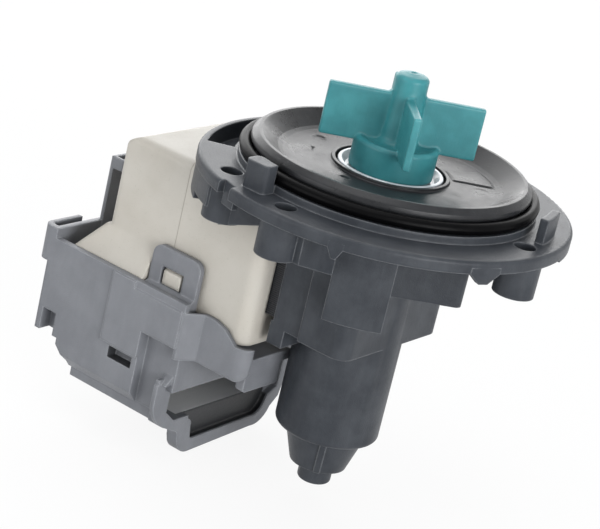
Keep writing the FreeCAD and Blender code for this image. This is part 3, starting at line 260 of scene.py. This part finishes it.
def cleanMesh(mesh, doubles, slivers, flat=None):
    # merges doubled points, drops empty faces, then joins faces that are flat within some degrees or drops
    # loose edges, and turns all faces outwards
    bm = bmesh.new()
    bm.from_mesh(mesh)
    bmesh.ops.remove_doubles(bm, verts=bm.verts, dist=doubles * mm)
    bmesh.ops.dissolve_degenerate(bm, edges=bm.edges, dist=slivers * mm)
    if flat:
        bmesh.ops.dissolve_limit(bm, angle_limit=math.radians(flat), verts=bm.verts, edges=bm.edges)
    else:
        bmesh.ops.delete(bm, geom=[edge for edge in bm.edges if not edge.link_faces], context="EDGES")
    bmesh.ops.recalc_face_normals(bm, faces=bm.faces)
    bm.to_mesh(mesh)
    bm.free()
    mesh.shade_smooth()


def linked(name, data):
    # new object in the scene
    made = bpy.data.objects.new(name, data)
    bpy.context.scene.collection.objects.link(made)
    return made


def joinPieces(name, pieces):
    # puts several pieces into one mesh
    bm = bmesh.new()
    for piece in pieces:
        bm.from_mesh(piece.data)
        bpy.data.objects.remove(piece)
    mesh = bpy.data.meshes.new(name)
    bm.to_mesh(mesh)
    bm.free()
    return linked(name, mesh)


def remesh(piece, cell, passes):
    # one skin over overlapping shapes, with their joins smoothed
    skin = piece.modifiers.new("skin", "REMESH")
    skin.mode = "VOXEL"
    skin.voxel_size = cell * mm
    skin.use_smooth_shade = True
    joins = piece.modifiers.new("blendJoins", "SMOOTH")
    joins.factor = 0.5
    joins.iterations = passes


def dress(piece, material, body, node):
    # material, body and the CAD node that the piece stands for
    piece.data.materials.clear()
    piece.data.materials.append(material)
    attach(piece, body)
    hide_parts(node)


def coat(node, material):
    # one material all over a CAD node's own mesh
    data = nodes[node].data
    for number in range(len(data.materials)):
        data.materials[number] = material
    if not data.materials:
        data.materials.append(material)


# colours of painted shade and painted light in the shroud's recesses
paintedShadeColour, paintedLightColour = "151618", "D2D3D4"
housingLook = {
    "base": "2F3237", "light": "7B7F84", "edgeHighlightAndWear": 0.3, "rough": 0.38, "gloss": 0.16, "rounding": 0.8,
    "shadeAndLightBoxes": (),
    "cut": ((34.6, 23.1), (36.9, 21.6), 0.28),  # dark cut beside the arc-shaped key: start, end, width
}
shroudLook = {
    "base": "67696E", "light": "A6A9AD", "edgeHighlightAndWear": 0.6, "rough": 0.45, "gloss": 0.35, "rounding": 1.0,
    "shadeAndLightBoxes": (  # boxes of painted shade and painted light: low and high per axis, strength at foot and top, colour
        (((-32.1, -30.8), (-15.0, 17.4), (-78.6, -71.45)), 0.97, 0.9, paintedShadeColour),  # painted shade in the foot of the plug's mouth
        (((-47.7, -39.5), (-29.7, -27.0), (-60.0, -56.4)), 0.8, 0.8, paintedShadeColour),  # painted shade on the walls of the small slot
        (((-42.0, -32.4), (-17.6, 18.6), (-71.6, -71.0)), 0.9, 0.9, paintedLightColour),  # painted light on the floor of the plug inlet
    ),
    "cut": None,
}


def mouldedPlastic(name, k):
    # fine spark-eroded grain, slow cloudiness, faint flow streaks, edges painted paler as highlights and made
    # glossier as worn ones are, and boxes of painted shade and painted light where any are given
    s = Shade(name)
    mottle = 0.1
    cloud = s.noise(size=9.0, detail=4.0, rough=0.6)
    streak = s.noise(size=2.4, detail=3.0, rough=0.6, warp=0.4, stretch=(1.0, 1.0, 0.25))
    edgeHighlightAndWear = s.edges(width=0.45) * s.between(s.noise(size=3.0, detail=2.0), 0.25, 0.6, 0.45, 1.0)
    tone = s.between(cloud, 0.3, 0.7, 0.0, mottle) + s.between(streak, 0.35, 0.7, 0.0, mottle * 0.3)
    colour = s.blend(tone, rgb(k["base"]), rgb(k["light"]))
    # painted highlight: sharp edges lightened as if catching the light; the same mask lowers the roughness on
    # edges below
    colour = s.blend(edgeHighlightAndWear * k["edgeHighlightAndWear"], colour, rgb("B4B7BB"))
    specks = s.between(s.noise(size=0.5, detail=1.0), 0.72, 0.8, 0.0, 0.07)
    colour = s.blend(specks, colour, rgb(k["light"]))
    # painted shade and painted light within boxes, with the strength changing from foot to top
    for box, footStrength, topStrength, boxColour in k["shadeAndLightBoxes"]:
        strength = s.fade("Z", *box[2], footStrength, topStrength)
        colour = s.blend(s.within(box, margin=0.3) * strength, colour, rgb(boxColour))
    if k["cut"]:
        colour = s.blend(s.stroke(*k["cut"]) * 0.8, colour, rgb("1A1B1D"))
    fine = s.noise(size=0.35, detail=2.0, rough=0.6)
    normal = s.bump(fine + cloud * 0.3, depth=0.05, normal=s.rounded(k["rounding"]))
    roughness = s.between(fine, 0.2, 0.8, k["rough"] - 0.07, k["rough"] + 0.07) - edgeHighlightAndWear * 0.12
    return s.finish(Base_Color=colour, Roughness=roughness, Normal=normal, Specular_IOR_Level=k["gloss"])


ivoryLook = {
    "base": "A9A49B", "pale": "B2AEA6", "foot": "ABA79F", "scuff": "9D998F", "speck": "8C867B",
    "edge": "DDD9D2", "rounding": 1.6, "rough": (0.42, 0.56), "footRange": (-44, -12),
    "seam": "7E786D", "seamX": -38.7,  # the seam's line: full and faded half width, foot and front
    "seamWidth": (0.06, 0.16), "seamFoot": (-31.0, -29.5), "seamFront": (-23.0, -22.0),
}


def ivoryMaterial(k):
    # pale thermoset: warm and cool clouds, tiny dark specks, greyer near its foot, faint scuffs
    s = Shade("ivoryMoulding")
    cloud = s.noise(size=14.0, detail=4.0, rough=0.55)
    colour = s.blend(s.between(cloud, 0.3, 0.7), rgb(k["base"]), rgb(k["pale"]))
    colour = s.blend(s.fade("Z", *k["footRange"], 0.35, 0.0), colour, rgb(k["foot"]))
    scuff = s.noise(size=1.1, detail=4.0, rough=0.7, warp=1.0, stretch=(0.25, 1.0, 1.0))
    scuff = s.between(scuff, 0.6, 0.72, 0.0, 0.25)
    colour = s.blend(scuff, colour, rgb(k["scuff"]))
    speck = s.between(s.noise(size=0.33, detail=0.0), 0.76, 0.8, 0.0, 0.35)
    colour = s.blend(speck, colour, rgb(k["speck"]))
    # painted highlight: paler colour along the rounded edges
    colour = s.blend(s.edges(width=0.5) * 0.4, colour, rgb(k["edge"]))
    # moulding seam between the two coils, down to the latch
    beside = s.sums("ABSOLUTE", s.axis("X") - k["seamX"] * mm)
    line, blur = k["seamWidth"]
    seam = s.between(beside, line * mm, blur * mm, 1.0, 0.0)
    seam = seam * s.fade("Z", *k["seamFoot"]) * s.fade("Y", *k["seamFront"], 1.0, 0.0)
    colour = s.blend(seam * 0.55, colour, rgb(k["seam"]))
    fine = s.noise(size=0.3, detail=2.0, rough=0.6)
    normal = s.bump(fine + scuff - seam * 2, depth=0.04, normal=s.rounded(k["rounding"]))
    return s.finish(Base_Color=colour, Roughness=s.between(fine, 0.2, 0.8, *k["rough"]), Normal=normal)


tealLook = {
    "base": "2E757B", "pale": "398388", "edge": "AECACA", "foot": "2A5C62", "rough": (0.34, 0.46),
    "gloss": 0.3, "lightDepth": 1.6, "footRange": (6, 16),
}


def tealMaterial(k):
    # translucent teal: edges painted paler as highlights, fine flow lines up the blades
    s = Shade("tealPlastic")
    cloud = s.noise(size=5.0, detail=3.0)
    colour = s.blend(s.between(cloud, 0.3, 0.7), rgb(k["base"]), rgb(k["pale"]))
    # painted highlight: paler colour on outer and inner edges
    colour = s.blend(s.edges(width=0.9) * 0.55, colour, rgb(k["edge"]))
    colour = s.blend(s.fade("Z", *k["footRange"], 0.35, 0.0), colour, rgb(k["foot"]))
    fine = s.noise(size=0.4, detail=2.0)
    lines = s.noise(size=0.8, detail=2.0, warp=0.2, stretch=(1.0, 1.0, 0.15))
    return s.finish(Base_Color=colour, Roughness=s.between(fine, 0.2, 0.8, *k["rough"]),
                    Normal=s.bump(fine * 0.5 + lines, depth=0.03), Specular_IOR_Level=k["gloss"],
                    Subsurface_Weight=0.25, Subsurface_Radius=(0.6, 1.0, 1.0),
                    Subsurface_Scale=k["lightDepth"] * mm)


plateLook = {"base": "202123", "bloom": "303134", "edge": "8E9092", "rough": (0.24, 0.38), "gloss": 0.22}


def plateMaterial(k):
    # dark glossy plastic with a cloudy grey bloom, fine scratches and edges painted paler as highlights
    s = Shade("platePlastic")
    bloom = s.noise(size=7.0, detail=4.0, rough=0.6, warp=0.5)
    colour = s.blend(s.between(bloom, 0.35, 0.75, 0.0, 0.5), rgb(k["base"]), rgb(k["bloom"]))
    # painted highlight along the edges
    colour = s.blend(s.edges(width=0.4) * 0.25, colour, rgb(k["edge"]))
    fine = s.noise(size=0.3, detail=2.0, rough=0.6)
    scratch = s.noise(size=0.9, detail=5.0, rough=0.75, warp=2.0, stretch=(0.2, 1.0, 1.0))
    scratch = s.between(scratch, 0.62, 0.66, 0.0, 0.6)
    return s.finish(Base_Color=colour, Roughness=s.between(bloom, 0.2, 0.8, *k["rough"]),
                    Normal=s.bump(fine + scratch, depth=0.03), Specular_IOR_Level=k["gloss"])


rubberLook = {"base": "050506", "bloom": "101011", "rough": (0.3, 0.45), "gloss": 0.05}


def rubberMaterial(k):
    # black rubber with a faint grey bloom
    s = Shade("blackRubber")
    fine = s.noise(size=0.25, detail=3.0, rough=0.6)
    bloom = s.between(s.noise(size=4.0, detail=3.0, rough=0.6), 0.45, 0.8, 0.0, 0.4)
    colour = s.blend(bloom, rgb(k["base"]), rgb(k["bloom"]))
    return s.finish(Base_Color=colour, Roughness=s.between(fine, 0.2, 0.8, *k["rough"]),
                    Normal=s.bump(fine, depth=0.02), Specular_IOR_Level=k["gloss"])


shieldLook = {"base": "B6BBC0", "pale": "CBCFD3", "rough": (0.15, 0.25)}


def shieldMaterial(k):
    # glossy white, a little cloudy
    s = Shade("whiteShield")
    cloud = s.noise(size=3.0, detail=3.0)
    colour = s.blend(s.between(cloud, 0.3, 0.7), rgb(k["base"]), rgb(k["pale"]))
    fine = s.noise(size=0.3, detail=2.0)
    return s.finish(Base_Color=colour, Roughness=s.between(cloud, 0.3, 0.7, *k["rough"]),
                    Normal=s.bump(fine, depth=0.01))


def metalMaterial(name, base, light, rough, stretch):
    # brushed or ground metal: streaks along one way, dull patches
    s = Shade(name)
    streak = s.noise(size=0.5, detail=4.0, rough=0.6, stretch=stretch)
    patch = s.noise(size=4.0, detail=3.0, rough=0.6)
    colour = s.blend(s.between(streak + patch * 0.5, 0.4, 1.0), rgb(base), rgb(light))
    roughness = s.between(patch, 0.3, 0.7, rough, rough + 0.14)
    normal = s.bump(streak, depth=0.01)
    return s.finish(Base_Color=colour, Metallic=1.0, Roughness=roughness, Normal=normal)


def coreMaterial(sheet):
    # stack of varnished laminations: one dark line for each sheet up the stack, rusty in places
    s = Shade("coreLaminations")
    wave = s.sums("SINE", s.axis("Z") * (2 * math.pi / (sheet * mm)))
    line = s.between(wave, -0.9, 0.2)
    rust = s.between(s.noise(size=3.0, detail=4.0, rough=0.7), 0.55, 0.75, 0.0, 0.5)
    colour = s.blend(line, rgb("15161A"), rgb("3A3C40"))
    colour = s.blend(rust, colour, rgb("3D2C22"))
    return s.finish(Base_Color=colour, Metallic=0.5, Roughness=s.between(wave, -1.0, 1.0, 0.6, 0.4),
                    Normal=s.bump(line, depth=0.06))


def coilMaterial(wire):
    # wound wire: a rounded ridge every wire width along the leg
    s = Shade("coilWire")
    wave = s.sums("SINE", s.axis("X") * (2 * math.pi / (wire * mm)))
    tone = s.noise(size=2.0, detail=3.0, rough=0.6)
    colour = s.blend(s.between(tone, 0.3, 0.7), rgb("8A4A22"), rgb("B4693A"))
    normal = s.bump(wave, depth=0.06)
    return s.finish(Base_Color=colour, Metallic=0.8, Roughness=0.35, Normal=normal)


def plainInner(name, base, light, rough):
    # finish of a hidden piece: slow cloudiness and a fine grain
    s = Shade(name)
    cloud = s.noise(size=4.0, detail=3.0, rough=0.6)
    fine = s.noise(size=0.3, detail=2.0, rough=0.6)
    colour = s.blend(s.between(cloud, 0.3, 0.7), rgb(base), rgb(light))
    return s.finish(Base_Color=colour, Roughness=s.between(fine, 0.2, 0.8, rough - 0.05, rough + 0.08),
                    Normal=s.bump(fine, depth=0.02))


housingGrey = mouldedPlastic("housingGrey", housingLook)
shroudGrey = mouldedPlastic("shroudGrey", shroudLook)
ivory = ivoryMaterial(ivoryLook)
teal = tealMaterial(tealLook)
plateBlack = plateMaterial(plateLook)
rubber = rubberMaterial(rubberLook)
shieldWhite = shieldMaterial(shieldLook)
innerBlack = plainInner("innerBlack", "2C2D2F", "3B3C3E", rough=0.5)
ceramic = plainInner("bearingCeramic", "C9C6BE", "DDD9D0", rough=0.35)
ferrite = plainInner("magnetFerrite", "2E3033", "4A4C50", rough=0.55)
cutoutBlack = plainInner("cutoutBlack", "1D1D1F", "2B2B2D", rough=0.45)
steel = metalMaterial("groundSteel", "A9ACAF", "D5D7D9", rough=0.2, stretch=(1.0, 1.0, 0.1))
tin = metalMaterial("tinnedBrass", "B7B4A6", "D9D6C8", rough=0.25, stretch=(0.1, 1.0, 1.0))
core = coreMaterial(sheet=0.5)
coil = coilMaterial(wire=0.3)
print("materials made")

coats = {
    innerBlack: ["bearing_carrier", "magnet_carrier", "drive_dog", "rear_bobbin", "front_bobbin",
                 "terminal_carrier"],
    rubber: ["carrier_seal", "front_bearing_mount", "rear_bearing_mount", "clutch_damper"],
    ceramic: ["front_bearing", "rear_bearing", "front_thrust_washer", "rear_thrust_washer"],
    ferrite: ["rotor_magnet"],
    steel: ["rotor_shaft", "core_rivets"],
    tin: ["terminal_blade_1", "terminal_blade_2"],
    core: ["stator_core"],
    coil: ["rear_winding", "front_winding"],
    cutoutBlack: ["thermal_cutout"],
    teal: ["clutch_cover"],
}
for material, names in coats.items():
    for node in names:
        coat(node, material)
print("inner pieces coated")


impeller = {
    "skirtRadius": 10.1, "skirtFoot": 3.4, "skirtTop": 10.6, "crestRadius": 9.3, "crest": 11.2,
    "dishRadius": 7.4, "dish": 10.7, "postRadius": 4.35, "postFlare": 0.2, "postTop": 16.0,
    "knobRadius": 4.0, "knobFoot": 24.0, "knobEdge": 27.1, "knobChamfer": 0.7, "knobTopRadius": 3.35,
    "apexRadius": 0.9, "apex": 27.7, "dimpleRadius": 0.6, "dimple": 0.4, "dimpleSlope": 0.05,
    "chamberRadius": 8.4, "chamberTop": 9.4, "boreRadius": 2.05, "boreTop": 20.8,
    "bladeReach": 18.7, "bladeRoot": 1.0, "bladeLow": 9.5, "bladeHigh": 22.3, "bladeThick": 2.1,
    "bladeTaper": 0.1, "bladeRound": 0.42, "bladeSteps": 9, "firstBlade": 42.0, "blades": 4,
    "webRise": 1.5, "webRun": 2.0, "webOverlap": 0.5, "webSink": 0.3, "webFoot": 1.5, "webHalf": 0.42,
    "webGrid": (9, 5), "steps": 160, "outerRun": 0.5, "innerRun": 0.8, "cell": 0.22, "passes": 6,
}


def bladeTurns(k):
    # degrees about the axis, evenly spaced from the first blade
    return [k["firstBlade"] + 360 / k["blades"] * number for number in range(k["blades"])]


def impellerHub(k):
    # one closed profile: up the skirt, over the dish and the knob, and down the bore and the clutch chamber
    corners = [
        (k["chamberRadius"], k["skirtFoot"], 0.0), (k["skirtRadius"], k["skirtFoot"], 0.25),
        (k["skirtRadius"], k["skirtTop"], 0.9), (k["crestRadius"], k["crest"], 0.5),
        (k["dishRadius"], k["dish"], 0.8), (k["postRadius"] + k["postFlare"], k["dish"], 1.6),
        (k["postRadius"], k["postTop"], 2.0), (k["knobRadius"], k["knobFoot"], 2.0),
        (k["knobRadius"], k["knobEdge"] - k["knobChamfer"], 0.6), (k["knobTopRadius"], k["knobEdge"], 0.4),
        (k["apexRadius"], k["apex"], 0.3),
        (k["dimpleRadius"], k["apex"] - k["dimple"] + k["dimpleSlope"], 0.2),
        (0.0, k["apex"] - k["dimple"], 0.0),
    ]
    inner = [
        (0.0, k["boreTop"], 0.0), (k["boreRadius"], k["boreTop"], 0.2),
        (k["boreRadius"], k["chamberTop"], 0.1), (k["chamberRadius"], k["chamberTop"], 0.3),
        (k["chamberRadius"], k["skirtFoot"], 0.0),
    ]
    outside = denser(roundedProfile(corners), k["outerRun"])
    inside = denser(roundedProfile(inner), k["innerRun"])
    return gridPiece("hub", turnedPoints(np.concatenate([outside, inside]), k["steps"]))


def impellerBlades(k):
    # slabs that thin a little towards the tip: a small ball's points, each moved out to the corner of the
    # slab on its side, so that every edge is rounded
    reach, root, low, high = k["bladeReach"], k["bladeRoot"], k["bladeLow"], k["bladeHigh"]
    half = np.array([(reach - root) / 2, k["bladeThick"] / 2, (high - low) / 2])
    around = 4 * k["bladeSteps"]
    u = (np.arange(around) + 0.5) / around * 2 * math.pi
    v = np.linspace(-math.pi / 2, math.pi / 2, 2 * k["bladeSteps"])
    u, v = np.meshgrid(u, v, indexing="ij")
    ball = np.stack([np.cos(u) * np.cos(v), np.sin(u) * np.cos(v), np.sin(v)], -1)
    side = np.stack([np.sign(np.cos(u)), np.sign(np.sin(u)), np.sign(v)], -1)
    points = ball * k["bladeRound"] + side * (half - k["bladeRound"])
    points = points + np.array([(reach + root) / 2, 0.0, (low + high) / 2])
    points[..., 1] *= 1.0 - k["bladeTaper"] * np.clip(points[..., 0] / reach, 0, 1)
    return [gridPiece("blade", swung(points, turn), lids=True) for turn in bladeTurns(k)]


def impellerWebs(k):
    # wedges where the blades' top edges sweep up into the knob: the top falls as 1 - sin along the web
    alongCount, acrossCount = k["webGrid"]
    u = np.linspace(0, 1, alongCount)[:, None]
    v = np.linspace(-1, 1, acrossCount)[None, :]
    rise = k["webRise"] * (1 - np.sin(u * math.pi / 2))
    x = k["knobRadius"] - k["webOverlap"] + k["webRun"] * u + 0 * v
    y = v * k["bladeThick"] * k["webHalf"] + 0 * u
    z = k["bladeHigh"] - k["webSink"] + rise + 0 * v
    top = np.stack([x, y, z], -1)
    base = top.copy()
    base[..., 2] = k["bladeHigh"] - k["webFoot"]
    ring = np.concatenate([top, base[:, ::-1]], 1)
    return [gridPiece("web", swung(ring, turn).transpose(1, 0, 2), lids=True) for turn in bladeTurns(k)]


shapes = [impellerHub(impeller), *impellerBlades(impeller), *impellerWebs(impeller)]
wheel = joinPieces("impellerWheel", shapes)
remesh(wheel, impeller["cell"], impeller["passes"])
dress(wheel, teal, "impeller", "impeller")
print("impeller made")


plate = {
    "bore": 13.3, "groove": 33.1, "foot": 1.9, "rimLow": 4.9, "rimRadius": 33.6, "rimLean": 0.1,
    "rimWall": 1.2, "rimTop": 7.3, "rimTopRadius": 32.2, "rimInner": 31.4, "coneRun": 1.2, "coneRise": 0.55,
    "floorRadius": 25.8, "floor": 3.8, "lipRadius": 14.2, "lipTop": 4.5,
    "steps": 480, "run": 0.45, "sharpAngle": 40,
    "padAzimuths": (40.0, 66.0), "padRadii": (14.8, 25.6), "padRise": 0.25, "padGroove": 0.2,
    "padEdge": (1.6, 0.6), "markEdge": 0.3,  # the pad's edges in degrees and millimetres, then the marks'
    "rounds": ((21.2, 180.0, 1.7, 0.35), (21.8, 30.5, 2.0, 0.12)),  # radius, azimuth, size, depth
    "slits": (  # radius, azimuth, length, width, depth
        (19.0, -152.0, 3.2, 0.5, 0.35),
        (17.4, -92.0, 2.6, 0.45, 0.3),
    ),
    "margins": (0.1, 0.2, 0.6),  # of the floor that takes marks: below it, beyond the lip, past its edge
}


def trapezium(place, low, high, edge):
    # 1 between low and high, falling to 0 at them over the edge's length inside
    return np.clip((place - low) / edge, 0, 1) * np.clip((high - place) / edge, 0, 1)


def facePlatePoints(k):
    # dished ring: a closed profile round the axis, with the pad, the round ejector marks and the slits added
    # to the floor's height
    corners = [
        (k["bore"], k["foot"], 0.0), (k["groove"], k["foot"], 0.2), (k["groove"], k["rimLow"], 0.15),
        (k["rimRadius"], k["rimLow"], 0.2), (k["rimRadius"] - k["rimLean"], k["rimLow"] + k["rimWall"], 0.8),
        (k["rimTopRadius"], k["rimTop"], 0.35), (k["rimInner"], k["rimTop"], 0.3),
        (k["floorRadius"] + k["coneRun"], k["floor"] + k["coneRise"], 1.2),
        (k["floorRadius"], k["floor"], 1.2), (k["lipRadius"], k["floor"], 0.35),
        (k["lipRadius"], k["lipTop"], 0.2), (k["bore"], k["lipTop"], 0.2), (k["bore"], k["foot"], 0.0),
    ]
    profile = denser(roundedProfile(corners), k["run"])[:-1]
    points = turnedPoints(profile, k["steps"])
    radius = np.hypot(points[..., 0], points[..., 1])
    azimuth = np.degrees(np.arctan2(points[..., 1], points[..., 0]))
    below, beyondLip, pastEdge = k["margins"]
    onFloor = (radius > k["lipRadius"] + beyondLip) & (radius < k["floorRadius"] + pastEdge)
    onFloor &= points[..., 2] > k["floor"] - below
    turnEdge, radiusEdge = k["padEdge"]
    pad = trapezium(azimuth, *k["padAzimuths"], turnEdge) * trapezium(radius, *k["padRadii"], radiusEdge)
    lift = k["padRise"] * pad - 4 * k["padGroove"] * pad * (1 - pad)
    for markRadius, markAzimuth, size, depth in k["rounds"]:
        x = markRadius * math.cos(math.radians(markAzimuth))
        y = markRadius * math.sin(math.radians(markAzimuth))
        away = np.hypot(points[..., 0] - x, points[..., 1] - y)
        lift -= depth * np.clip((size - away) / k["markEdge"], 0, 1)
    for markRadius, markAzimuth, length, width, depth in k["slits"]:
        along = (azimuth - markAzimuth) * math.pi / 180 * markRadius
        across = radius - markRadius
        inLength = np.clip((length / 2 - abs(along)) / k["markEdge"], 0, 1)
        lift -= depth * inLength * np.clip((width - abs(across)) / k["markEdge"], 0, 1)
    points[..., 2] += np.where(onFloor, lift, 0.0)
    return points


dish = gridPiece("facePlateDish", facePlatePoints(plate), wrapV=True, sharpAngle=plate["sharpAngle"])
dress(dish, plateBlack, "motor", "face_plate")

seal = {
    "ring": 34.58, "section": 1.45, "height": 3.38, "flash": 0.06, "flashWidth": 0.09,
    "steps": 300, "around": 40,
}


def sealPoints(k):
    # ring of round section with the thin moulding line along its outer and inner waist
    turn = np.linspace(0, 2 * math.pi, k["steps"], endpoint=False)[:, None]
    tilt = np.linspace(0, 2 * math.pi, k["around"], endpoint=False)[None, :]
    line = k["flash"] * np.exp(-(np.sin(tilt) / k["flashWidth"]) ** 2)
    section = k["section"] - k["flash"] + line
    out = k["ring"] + section * np.cos(tilt)
    rise = k["height"] + section * np.sin(tilt)
    return np.stack([out * np.cos(turn), out * np.sin(turn), rise + 0 * turn], -1)


ring = gridPiece("sealRing", sealPoints(seal), wrapV=True)
dress(ring, rubber, "motor", "face_plate_seal")

shield = {
    "bore": 3.0, "base": 1.9, "outer": 12.7, "top": 4.4, "crown": 11.8, "dish": 10.7, "floor": 2.9,
    "steps": 200, "run": 0.8, "sharpAngle": 50,
}


def shieldPoints(k):
    # flat ring with a raised rim: a closed profile carried round the axis
    corners = [
        (k["bore"], k["base"], 0.0), (k["outer"], k["base"], 0.3), (k["outer"], k["top"], 0.35),
        (k["crown"], k["top"], 0.3), (k["dish"], k["floor"], 0.3), (k["bore"], k["floor"], 0.2),
        (k["bore"], k["base"], 0.0),
    ]
    return turnedPoints(denser(roundedProfile(corners), k["run"])[:-1], k["steps"])


cap = gridPiece("shieldRing", shieldPoints(shield), wrapV=True, sharpAngle=shield["sharpAngle"])
dress(cap, shieldWhite, "motor", "bearing_shield")
print("face plate, seal and shield made")


mouldings = {  # CAD node: name, edge rounding, material and slot of its softened copy
    "flange_housing": ("housingMoulding", 0.28, housingGrey, "housing_plastic"),
    "coil_cover": ("coilBlock", 0.35, ivory, "cover_plastic"),
    "connector_shroud": ("plugShroud", 0.25, shroudGrey, "shroud_plastic"),
}
# merging distances in millimetres, then the largest flat and the smallest sharp angle in degrees
softening = {"doubles": 0.003, "slivers": 0.002, "flat": 0.6, "edgeAngle": 28, "segments": 2, "weight": 90}


def softened(node, name, width, k):
    # copy of a CAD node: triangles merged, flat faces made whole, sharp edges rounded off
    mesh = nodes[node].data.copy()
    mesh.name = name
    cleanMesh(mesh, k["doubles"], k["slivers"], k["flat"])
    piece = linked(name, mesh)
    bevel = piece.modifiers.new("roundEdges", "BEVEL")
    bevel.limit_method = "ANGLE"
    bevel.angle_limit = math.radians(k["edgeAngle"])
    bevel.width = width * mm
    bevel.segments = k["segments"]
    bevel.use_clamp_overlap = True
    bevel.harden_normals = True
    even = piece.modifiers.new("evenNormals", "WEIGHTED_NORMAL")  # keeps large flat faces flat in the light
    even.mode = "FACE_AREA"
    even.weight = k["weight"]
    return piece


for node, (name, width, material, slotName) in mouldings.items():
    dress(softened(node, name, width, softening), material, "motor", node)
print("mouldings made")


# places, distances and sizes from here on are in metres, turns in degrees
view = {
    "place": (0.2515, -0.4178, 0.1557), "azimuth": 32.85, "elevation": 20.30, "roll": 13.41,
    "lens": 130.9, "sensor": 36.0, "clip": (0.01, 50.0),
}
stage = {
    "floor": -0.0822, "size": 6.0, "paper": "E6E6E6", "paperWhite": 0.9,
    "skyColour": (0.95, 0.98, 1.0, 1.0), "skyStrength": 0.45,
}
lamps = {
    "overhead": {"azimuth": -20, "elevation": 75, "distance": 1.2, "size": 0.9, "watts": 6.0},
    "rightFront": {"azimuth": 68, "elevation": 2, "distance": 1.2, "size": 0.8, "watts": 21.0},
    "leftFront": {"azimuth": -22, "elevation": 2, "distance": 1.3, "size": 0.9, "watts": 8.5},
    "behind": {"azimuth": 226, "elevation": 24, "distance": 1.5, "size": 1.8, "watts": 25.0},
}


def outward(azimuth, elevation):
    # unit vector from the pump; azimuth 0 is the front and grows towards its right side
    a, e = math.radians(azimuth), math.radians(elevation)
    return Vector((math.sin(a) * math.cos(e), -math.cos(a) * math.cos(e), math.sin(e)))


def makeCamera(k):
    # looks along its azimuth and elevation, then rolls about that line
    a, r = math.radians(k["azimuth"]), math.radians(k["roll"])
    back = outward(k["azimuth"], k["elevation"])
    right = Vector((math.cos(a), math.sin(a), 0.0))
    up = back.cross(right)
    across = right * math.cos(r) + up * math.sin(r)
    rise = up * math.cos(r) - right * math.sin(r)
    data = bpy.data.cameras.new("camera")
    data.lens, data.sensor_width, data.sensor_fit = k["lens"], k["sensor"], "HORIZONTAL"
    data.clip_start, data.clip_end = k["clip"]
    camera = linked("camera", data)
    turn = Matrix((across, rise, back)).transposed().to_4x4()
    camera.matrix_world = Matrix.Translation(k["place"]) @ turn
    bpy.context.scene.camera = camera


def makeFloor(k):
    # pale paper that keeps the pump's shadow
    half, level = k["size"] / 2, k["floor"]
    corners = [(-half, -half, level), (half, -half, level), (half, half, level), (-half, half, level)]
    mesh = bpy.data.meshes.new("floor")
    mesh.from_pydata(corners, [], [(0, 1, 2, 3)])
    floor = linked("floor", mesh)
    s = Shade("floorWhite")
    paper = s.node("ShaderNodeBsdfDiffuse", Color=rgb(k["paper"]))
    s.backdrop(paper, "ShaderNodeEmission", k["paperWhite"])
    mesh.materials.append(s.owner)


def makeWorld(k):
    # soft light all round, seen as plain white
    world = bpy.data.worlds.new("studio")
    bpy.context.scene.world = world
    s = Shade("studio", world)
    soft = s.node("ShaderNodeBackground", Color=k["skyColour"], Strength=k["skyStrength"])
    s.backdrop(soft, "ShaderNodeBackground", 1.0)


def makeLamp(name, k):
    # square lamp that faces the pump
    away = outward(k["azimuth"], k["elevation"])
    data = bpy.data.lights.new(name, "AREA")
    data.size, data.energy = k["size"], k["watts"]
    lamp = linked(name, data)
    lamp.location = away * k["distance"]
    lamp.rotation_mode = "QUATERNION"
    lamp.rotation_quaternion = away.to_track_quat("Z", "Y")


makeCamera(view)
makeFloor(stage)
makeWorld(stage)
for name, lamp in lamps.items():
    makeLamp(name, lamp)
bpy.context.scene.view_settings.view_transform = "Standard"
print("stage made")
